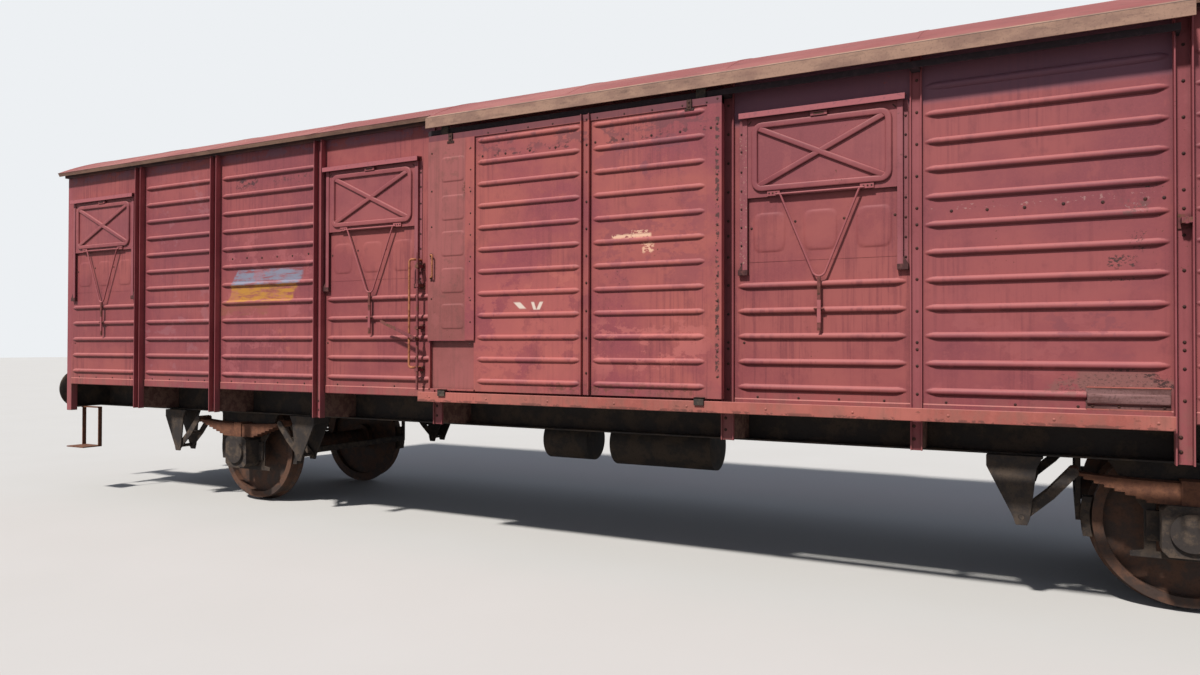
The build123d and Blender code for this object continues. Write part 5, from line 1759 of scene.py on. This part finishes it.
@dataclass
class DoorFittings:
    """What carries and covers the doors on the wagon: track, hood, rail, lock gear and grab handle."""

    palette: Palette
    rod_x: float = -1.3795
    rod_out: float = 1.443
    rod_z: Flat = (1.230, 2.370)
    rod_radius: float = 0.011
    keep_head: Flat = (0.004, 0.004)
    keeps_z: tuple[float, ...] = (1.380, 1.730, 2.080, 2.240)
    grab_x: Flat = (-1.4495, -1.3975)
    grab_out: float = 1.462
    grab_z: Flat = (1.416, 2.314)
    grab_radius: float = 0.0098
    grab_bend: float = 0.03
    lever_z: float = 1.654
    lever_tip: Flat = (-1.7415, 1.802)
    lever_out: Flat = (1.476, 1.488)
    catch_x: Flat = (3.9168, 3.967)
    catch_z: Flat = (2.270, 2.300)
    catch_out: float = 1.450
    catch_pin: Point = (3.942, -1.44, 2.266)
    catch_plate_x: Flat = (3.900, 3.962)
    catch_plate_z: Flat = (2.245, 2.325)
    rail_out: float = 1.530
    rail_rivets_x: tuple[float, ...] = (-1.18, -0.62, -0.06, 0.50, 1.06, 1.62, 2.18, 2.74, 3.30, 3.80)
    rail_rivets_z: float = 1.183
    rail_head: Flat = (0.009, 0.005)

    def _lock(self, shape: Shape) -> None:
        """Add the lock rod in its keeps, the long grab handle and the lever.

        Args:
            shape: what they are added to.
        """
        face, rod = BODY.wall_out, self.rod_x
        shape.tube([(rod, -self.rod_out, z) for z in self.rod_z], self.rod_radius, 12)
        for z in self.keeps_z:
            shape.box(around(rod, 0.024), (face, face + 0.008), (z - 0.01, z + 0.044))
            shape.box(around(rod, 0.017), (face, self.rod_out + 0.014), (z + 0.004, z + 0.030))
            shape.studs(around(rod, 0.0205), face + 0.008, [z + 0.017], self.keep_head, 1, 6)
        (bar, foot), (low, high) = self.grab_x, self.grab_z
        out = self.grab_out
        corners = [(foot, -face, low), (foot, -out, low), (bar, -out, low), (bar, -out, high),
                   (foot, -out, high), (foot, -face, high)]
        shape.tube(rounded_path(corners, self.grab_bend), self.grab_radius, 12, 2)
        # A flat lever whose height tapers to its tip
        inner, outer = self.lever_out
        shape.loft([[(x, -inner, z - half), (x, -inner, z + half), (x, -outer, z + half),
                     (x, -outer, z - half)]
                    for x, z, half in ((rod + 0.014, self.lever_z, 0.016), (*self.lever_tip, 0.012))])
        hub = [(0.0, 0.0), (0.0, 0.016), (0.052, 0.016), (0.055, 0.012), (0.055, 0.0)]
        shape.lathe((rod, -self.rod_out + 0.010, self.lever_z), OUT, hub, 16)

    def _catch(self, shape: Shape) -> None:
        """Add the rusty catch in the stop post, which holds the open door.

        Args:
            shape: what it is added to.
        """
        face = BODY.wall_out
        shape.box(self.catch_x, (face + 0.006, self.catch_out), self.catch_z)
        shape.pin(self.catch_pin, Vector((0.0, 0.0, 1.0)), 0.012, 0.038, 12, 0)
        shape.box(self.catch_plate_x, (face + 0.008, face + 0.016), self.catch_plate_z)

    def build(self) -> None:
        """Build the fittings of both sides."""
        p = self.palette
        for side in Side:
            lock, rail = Shape(), Shape()
            self._lock(lock)
            self._catch(lock)
            replaced = ("door_locks",) if side is Side.NEAR else ()
            fit(lock.moved(side), f"lock_gear_{side.value}", [p.gear, p.pin, p.grab], "wagon", "rusty_iron",
                *replaced, bevel=0.0015)
            dress(f"door_hood_{side.value}", p.hood)
            dress(f"door_track_{side.value}", p.track, 0.001)
            dress(f"door_rail_{side.value}", p.rail, 0.004)
            rail.studs(self.rail_rivets_x, self.rail_out, [self.rail_rivets_z], self.rail_head)
            fit(rail.moved(side), f"rail_rivets_{side.value}", [p.rail], "wagon", "rail_paint")


# Vent hatches


@dataclass
class Hatch:
    """One vent hatch: plate, rounded frame ridge, crossed ridges, hinge rod, vee bar and tongue."""

    palette: Palette
    half: float = 0.5055
    z: Flat = (2.605, 3.148)
    back: float = 1.382
    face: float = 1.392
    ridge_x: float = 0.438
    ridge_z: Flat = (2.662, 3.090)
    ridge_width: float = 0.046
    cross_width: float = 0.042
    ridge_rise: float = 0.0170
    ridge_radius: float = 0.050
    vee_out: float = 1.405
    vee_half: float = 0.260
    vee_corner_z: float = 1.984
    vee_radius: float = 0.045
    vee_bar: float = 0.0070
    hinge_z: float = 2.616
    hinge_half: float = 0.290
    rod_radius: float = 0.0068
    lug_half: float = 0.043
    lug_x: float = 0.305
    lug_rivets: tuple[float, ...] = (0.285, 0.31, 0.335)
    lug_head: Flat = (0.006, 0.005)
    grip_half: float = 0.054
    grip_reach: float = 0.024
    grip_z: Flat = (3.111, 3.139)
    grip_hole: Flat = (0.034, 0.0048)
    nick: tuple[Flat, Flat] = ((0.462, 3.128), (0.482, 3.106))
    nick_form: Flat = (0.007, 0.002)
    tongue_half: float = 0.011
    tongue_out: Flat = (1.3985, 1.4115)
    tongue_z: Flat = (1.752, 1.900)
    socket_top: float = 2.060
    tip_bottom: float = 1.700
    cross_pin: Flat = (0.034, 1.843)
    hole_z: float = 1.94
    hole_head: Flat = (0.008, 0.0004)
    bar_slot: int = 1
    pin_slot: int = 2
    tongue_slot: int = 3

    def _plate(self, shape: Shape) -> None:
        """Add the flat plate with its pressed frame and crossed ridges.

        Args:
            shape: what they are added to.
        """
        shape.box((-self.half, self.half), (self.back, self.face), self.z)
        for sign in (-1, 1):
            runner = (sign * self.half, sign * (self.half - 0.010))
            shape.box(runner, (BODY.wall_out + 0.0005, self.back), self.z)
        frame = rounded_rectangle((-self.ridge_x, self.ridge_x), self.ridge_z, self.ridge_radius, self.face)
        ridge(shape, frame, self.ridge_width, self.ridge_rise, True)
        low, high = self.ridge_z
        reach_x, reach_z = self.ridge_x - 0.016, (high - low) / 2.0 - 0.014
        for sign in (-1, 1):
            line = [(step * reach_x, -self.face, (low + high) / 2.0 + sign * step * reach_z)
                    for step in (-1.0, -0.95, -0.5, 0.0, 0.5, 0.95, 1.0)]
            # Each of the crossing ridges has a height of its own, so that no two faces coincide
            ridge(shape, line, self.cross_width, self.ridge_rise - 0.0006 - sign * 0.0003)

    def _handle(self, shape: Shape) -> None:
        """Add a small slotted plate to lift the hatch by, and nicks at the upper corners.

        Args:
            shape: what they are added to.
        """
        low, high = self.grip_z
        edge, (half, deep) = self.face + self.grip_reach, self.grip_hole
        shape.box(around(0.0, self.grip_half), (self.face, edge), self.grip_z)
        # The slot is painted shade: a dark plate that stands 0.8 mm out of the grip's edge, in place of an
        # opening
        shape.box(around(0.0, half), (edge + 0.0008 - deep, edge + 0.0008), (low + 0.007, high - 0.007),
                  self.pin_slot)
        for sign in (-1, 1):
            ridge(shape, [(sign * x, -self.face - 0.001, z) for x, z in self.nick], *self.nick_form,
                  slot=self.pin_slot)

    def _linkage(self, shape: Shape) -> None:
        """Add the hinge rod in its lugs, the vee of round bar, and the tongue with its cross pin.

        Args:
            shape: what they are added to.
        """
        out, hinge, face = self.vee_out, self.hinge_z, self.face
        shape.tube([(x, -out, hinge) for x in (-self.hinge_half, self.hinge_half)], self.rod_radius, 10,
                   self.bar_slot)
        for sign in (-1, 1):
            shape.box(around(sign * self.lug_x, self.lug_half), (face, face + 0.013),
                      (hinge - 0.008, hinge + 0.022), self.bar_slot)
            shape.studs([sign * x for x in self.lug_rivets], face + 0.013, [hinge + 0.009], self.lug_head,
                        self.pin_slot)
        vee = [(-self.vee_half, -out, hinge), (0.0, -out, self.vee_corner_z), (self.vee_half, -out, hinge)]
        shape.tube(rounded_path(vee, self.vee_radius, 10), self.vee_bar, 10, self.bar_slot)
        (inner, outer), (low, high) = self.tongue_out, self.tongue_z
        slim = around(0.0, self.tongue_half)
        shape.box(slim, self.tongue_out, (high, self.socket_top), self.tongue_slot)
        shape.box(around(0.0, self.tongue_half + 0.001), self.tongue_out, self.tongue_z, self.bar_slot)
        shape.box(slim, (inner + 0.0005, outer - 0.0005), (self.tip_bottom, low), self.tongue_slot)
        half, pin_z = self.cross_pin
        shape.tube([(-half, -out, pin_z), (half, -out, pin_z)], self.rod_radius, 8, self.tongue_slot)
        # A flat dark disc stands in for the hole through the tongue, as painted shade
        shape.studs([0.0], outer, [self.hole_z], self.hole_head, self.pin_slot)

    def build(self) -> None:
        """Build the eight hatches."""
        paints = [self.palette.hatch, self.palette.bar, self.palette.pin, self.palette.tongue]
        shape = Shape()
        self._plate(shape)
        self._handle(shape)
        self._linkage(shape)
        for side in Side:
            for number, bay in enumerate(BODY.vent_bays, start=1):
                name = f"hatch_{side.value}_{number}"
                fit(shape.moved(side, bay.hatch_x), f"vent_{name}", paints, name, "hatch_paint", name)


@dataclass
class HatchSurround:
    """Bolts of the hatch guides' flanges and the castings that stop the hatches."""

    palette: Palette
    flange_x: float = 0.538
    flange_out: float = 1.375
    bolts_z: tuple[float, ...] = (2.16, 2.285, 2.41, 2.535, 2.66, 2.79, 2.93, 3.05)
    head: Flat = (0.008, 0.006)
    stop_x: Flat = (0.488, 0.556)
    stop_z: Flat = (2.080, 2.116)
    stop_out: float = 1.4015
    web_x: Flat = (0.5525, 0.5245)
    web_out: float = 1.398
    web_top: float = 2.165

    def build(self) -> None:
        """Build the bolts and stops of both sides and dress the guides."""
        foot = self.stop_z[1]
        edge, tip = self.web_x
        shape = Shape()
        for bay in BODY.vent_bays:
            for sign in (-1, 1):
                shape.studs([bay.hatch_x + sign * self.flange_x], self.flange_out, self.bolts_z, self.head)
                shape.box([bay.hatch_x + sign * x for x in self.stop_x], (BODY.wall_out, self.stop_out),
                          self.stop_z, 1)
                web = ((edge, foot), (tip, foot), (tip, self.web_top))
                shape.loft([[(bay.hatch_x + sign * x, -out, z) for x, z in web]
                            for out in (self.flange_out, self.web_out)], False, 1)
        for side in Side:
            paints = [self.palette.pin, self.palette.stop]
            fit(shape.moved(side), f"guide_stops_{side.value}", paints, "wagon", "wall_paint", bevel=0.001)
        dress("hatch_guides", self.palette.guide, 0.001)


# Roof and ends


@dataclass
class Roof:
    """Rolled steel roof skin with a lapped seam over each bow."""

    palette: Palette
    half_length: float = 6.405
    thickness: float = 0.040
    seam_half: float = 0.022
    seam_rise: float = 0.003
    arc_steps: int = 40
    seams_x: tuple[float, ...] = (-5.09, -3.93, -2.54, -1.205, 0.05, 1.305, 2.54, 3.93, 5.09)

    def _stations(self) -> list[Flat]:
        """List where along the roof its section changes, and fill long gaps.

        Returns:
            Places along x, each with how far the sheet lies below the seams there.
        """
        end, half, drop = self.half_length, self.seam_half, self.seam_rise
        lines = [(-end, 0.0), (-end + 0.05, 0.0), (-end + 0.06, drop)]
        for x in self.seams_x:
            lines += [(x - half - 0.012, drop), (x - half, 0.0), (x + half, 0.0), (x + half + 0.003, drop)]
        lines += [(end - 0.06, drop), (end - 0.05, 0.0), (end, 0.0)]
        rows = []
        for (x0, drop0), (x1, drop1) in zip(lines, lines[1:]):
            parts = max(1, math.ceil((x1 - x0) / 0.25))
            rows += [(x0 + (x1 - x0) * part / parts, drop0 + (drop1 - drop0) * part / parts)
                     for part in range(parts)]
        return rows + lines[-1:]

    def build(self) -> None:
        """Build the skin and dress what lies under its edge."""
        radius, centre, steps = BODY.roof_radius(), BODY.roof_centre(), self.arc_steps
        edge = math.asin(BODY.roof_half_width / radius)
        angles = [edge * (2.0 * step / steps - 1.0) for step in range(steps + 1)]
        rings = []
        for x, drop in self._stations():
            outer, inner = ([(x, size * math.sin(angle), centre + size * math.cos(angle)) for angle in angles]
                            for size in (radius - drop, radius - self.thickness))
            rings.append(outer + inner[::-1])
        shape = Shape()
        shape.loft(rings, ends=False)
        # The sheet's edge at each end, from one step of the arch to the next
        wide = len(rings[0])
        for first in (0, len(shape.points) - wide):
            last = first + wide - 1
            shape.faces += [(first + step, first + step + 1, last - step - 1, last - step)
                            for step in range(steps)]
            shape.slots += [0] * steps
        fit(shape, "roof_sheets", [self.palette.roof], "wagon", "roof_paint", "roof_skin")
        dress("cant_rails", self.palette.eave, 0.002)
        dress("roof_bows", self.palette.under)


@dataclass
class Ends:
    """End walls, buffers and draw gear, with the bolts on the headstocks."""

    palette: Palette
    face_x: float = 6.410
    buffer_y: float = 0.875
    buffer_z: float = 1.088
    buffer_bolts: float = 0.14
    buffer_head: Flat = (0.017, 0.02)
    hook_z: float = 1.073
    hook_bolts: Flat = (0.12, 0.07)
    hook_head: Flat = (0.015, 0.018)

    def build(self) -> None:
        """Dress both ends and set their bolts."""
        for label in ("a", "b"):
            dress(f"end_wall_{label}", self.palette.end, 0.004)
            dress(f"buffers_{label}", self.palette.casting, 0.003)
            dress(f"draw_gear_{label}", self.palette.rust, 0.004)
        bolts = Shape()
        for sign in (-1, 1):
            way = Vector((float(sign), 0.0, 0.0))
            for y in (*around(-self.buffer_y, self.buffer_bolts), *around(self.buffer_y, self.buffer_bolts)):
                for z in around(self.buffer_z, self.buffer_bolts):
                    bolts.bolt((sign * self.face_x, y, z), way, *self.buffer_head)
            for y in around(0.0, self.hook_bolts[0]):
                for z in around(self.hook_z, self.hook_bolts[1]):
                    bolts.bolt((sign * (self.face_x + 0.004), y, z), way, *self.hook_head)
        fit(bolts, "end_bolts", [self.palette.rust], "wagon", "rusty_iron")


@dataclass
class Underneath:
    """Underframe, brake gear and running gear."""

    palette: Palette

    def build(self) -> None:
        """Dress the steelwork below the floor."""
        under = ("sole_bars", "headstocks", "cross_bearers", "centre_sills", "axle_guards", "brake_cylinder",
                 "spring_brackets")
        for name in under:
            dress(name, self.palette.under, 0.003)
        dress("post_gussets", self.palette.gusset, 0.001)
        dress("floor_deck", self.palette.floor)
        for label in ("a", "b"):
            dress(f"axle_{label}", self.palette.wheel)
            dress(f"wheels_{label}", self.palette.wheel)
        dress("axleboxes", self.palette.casting, 0.006)
        dress("leaf_springs", self.palette.rust, 0.001)
        dress("spring_links", self.palette.casting, 0.002)
        dress("brake_rigging", self.palette.casting, 0.003)
        dress("steps", self.palette.rust, 0.001)


def main() -> None:
    """Build the wagon's looks sub-assembly by sub-assembly."""
    logging.basicConfig(level=logging.INFO, format="%(name)s: %(message)s")
    palette = Palette()
    Studio().build()
    for kind in (WallSheets, Posts, DoorLeaf, DoorFittings, Hatch, HatchSurround, Roof, Ends, Underneath):
        kind(palette).build()
        log.info("%s done", kind.__name__)


if __name__ == "__main__":
    main()
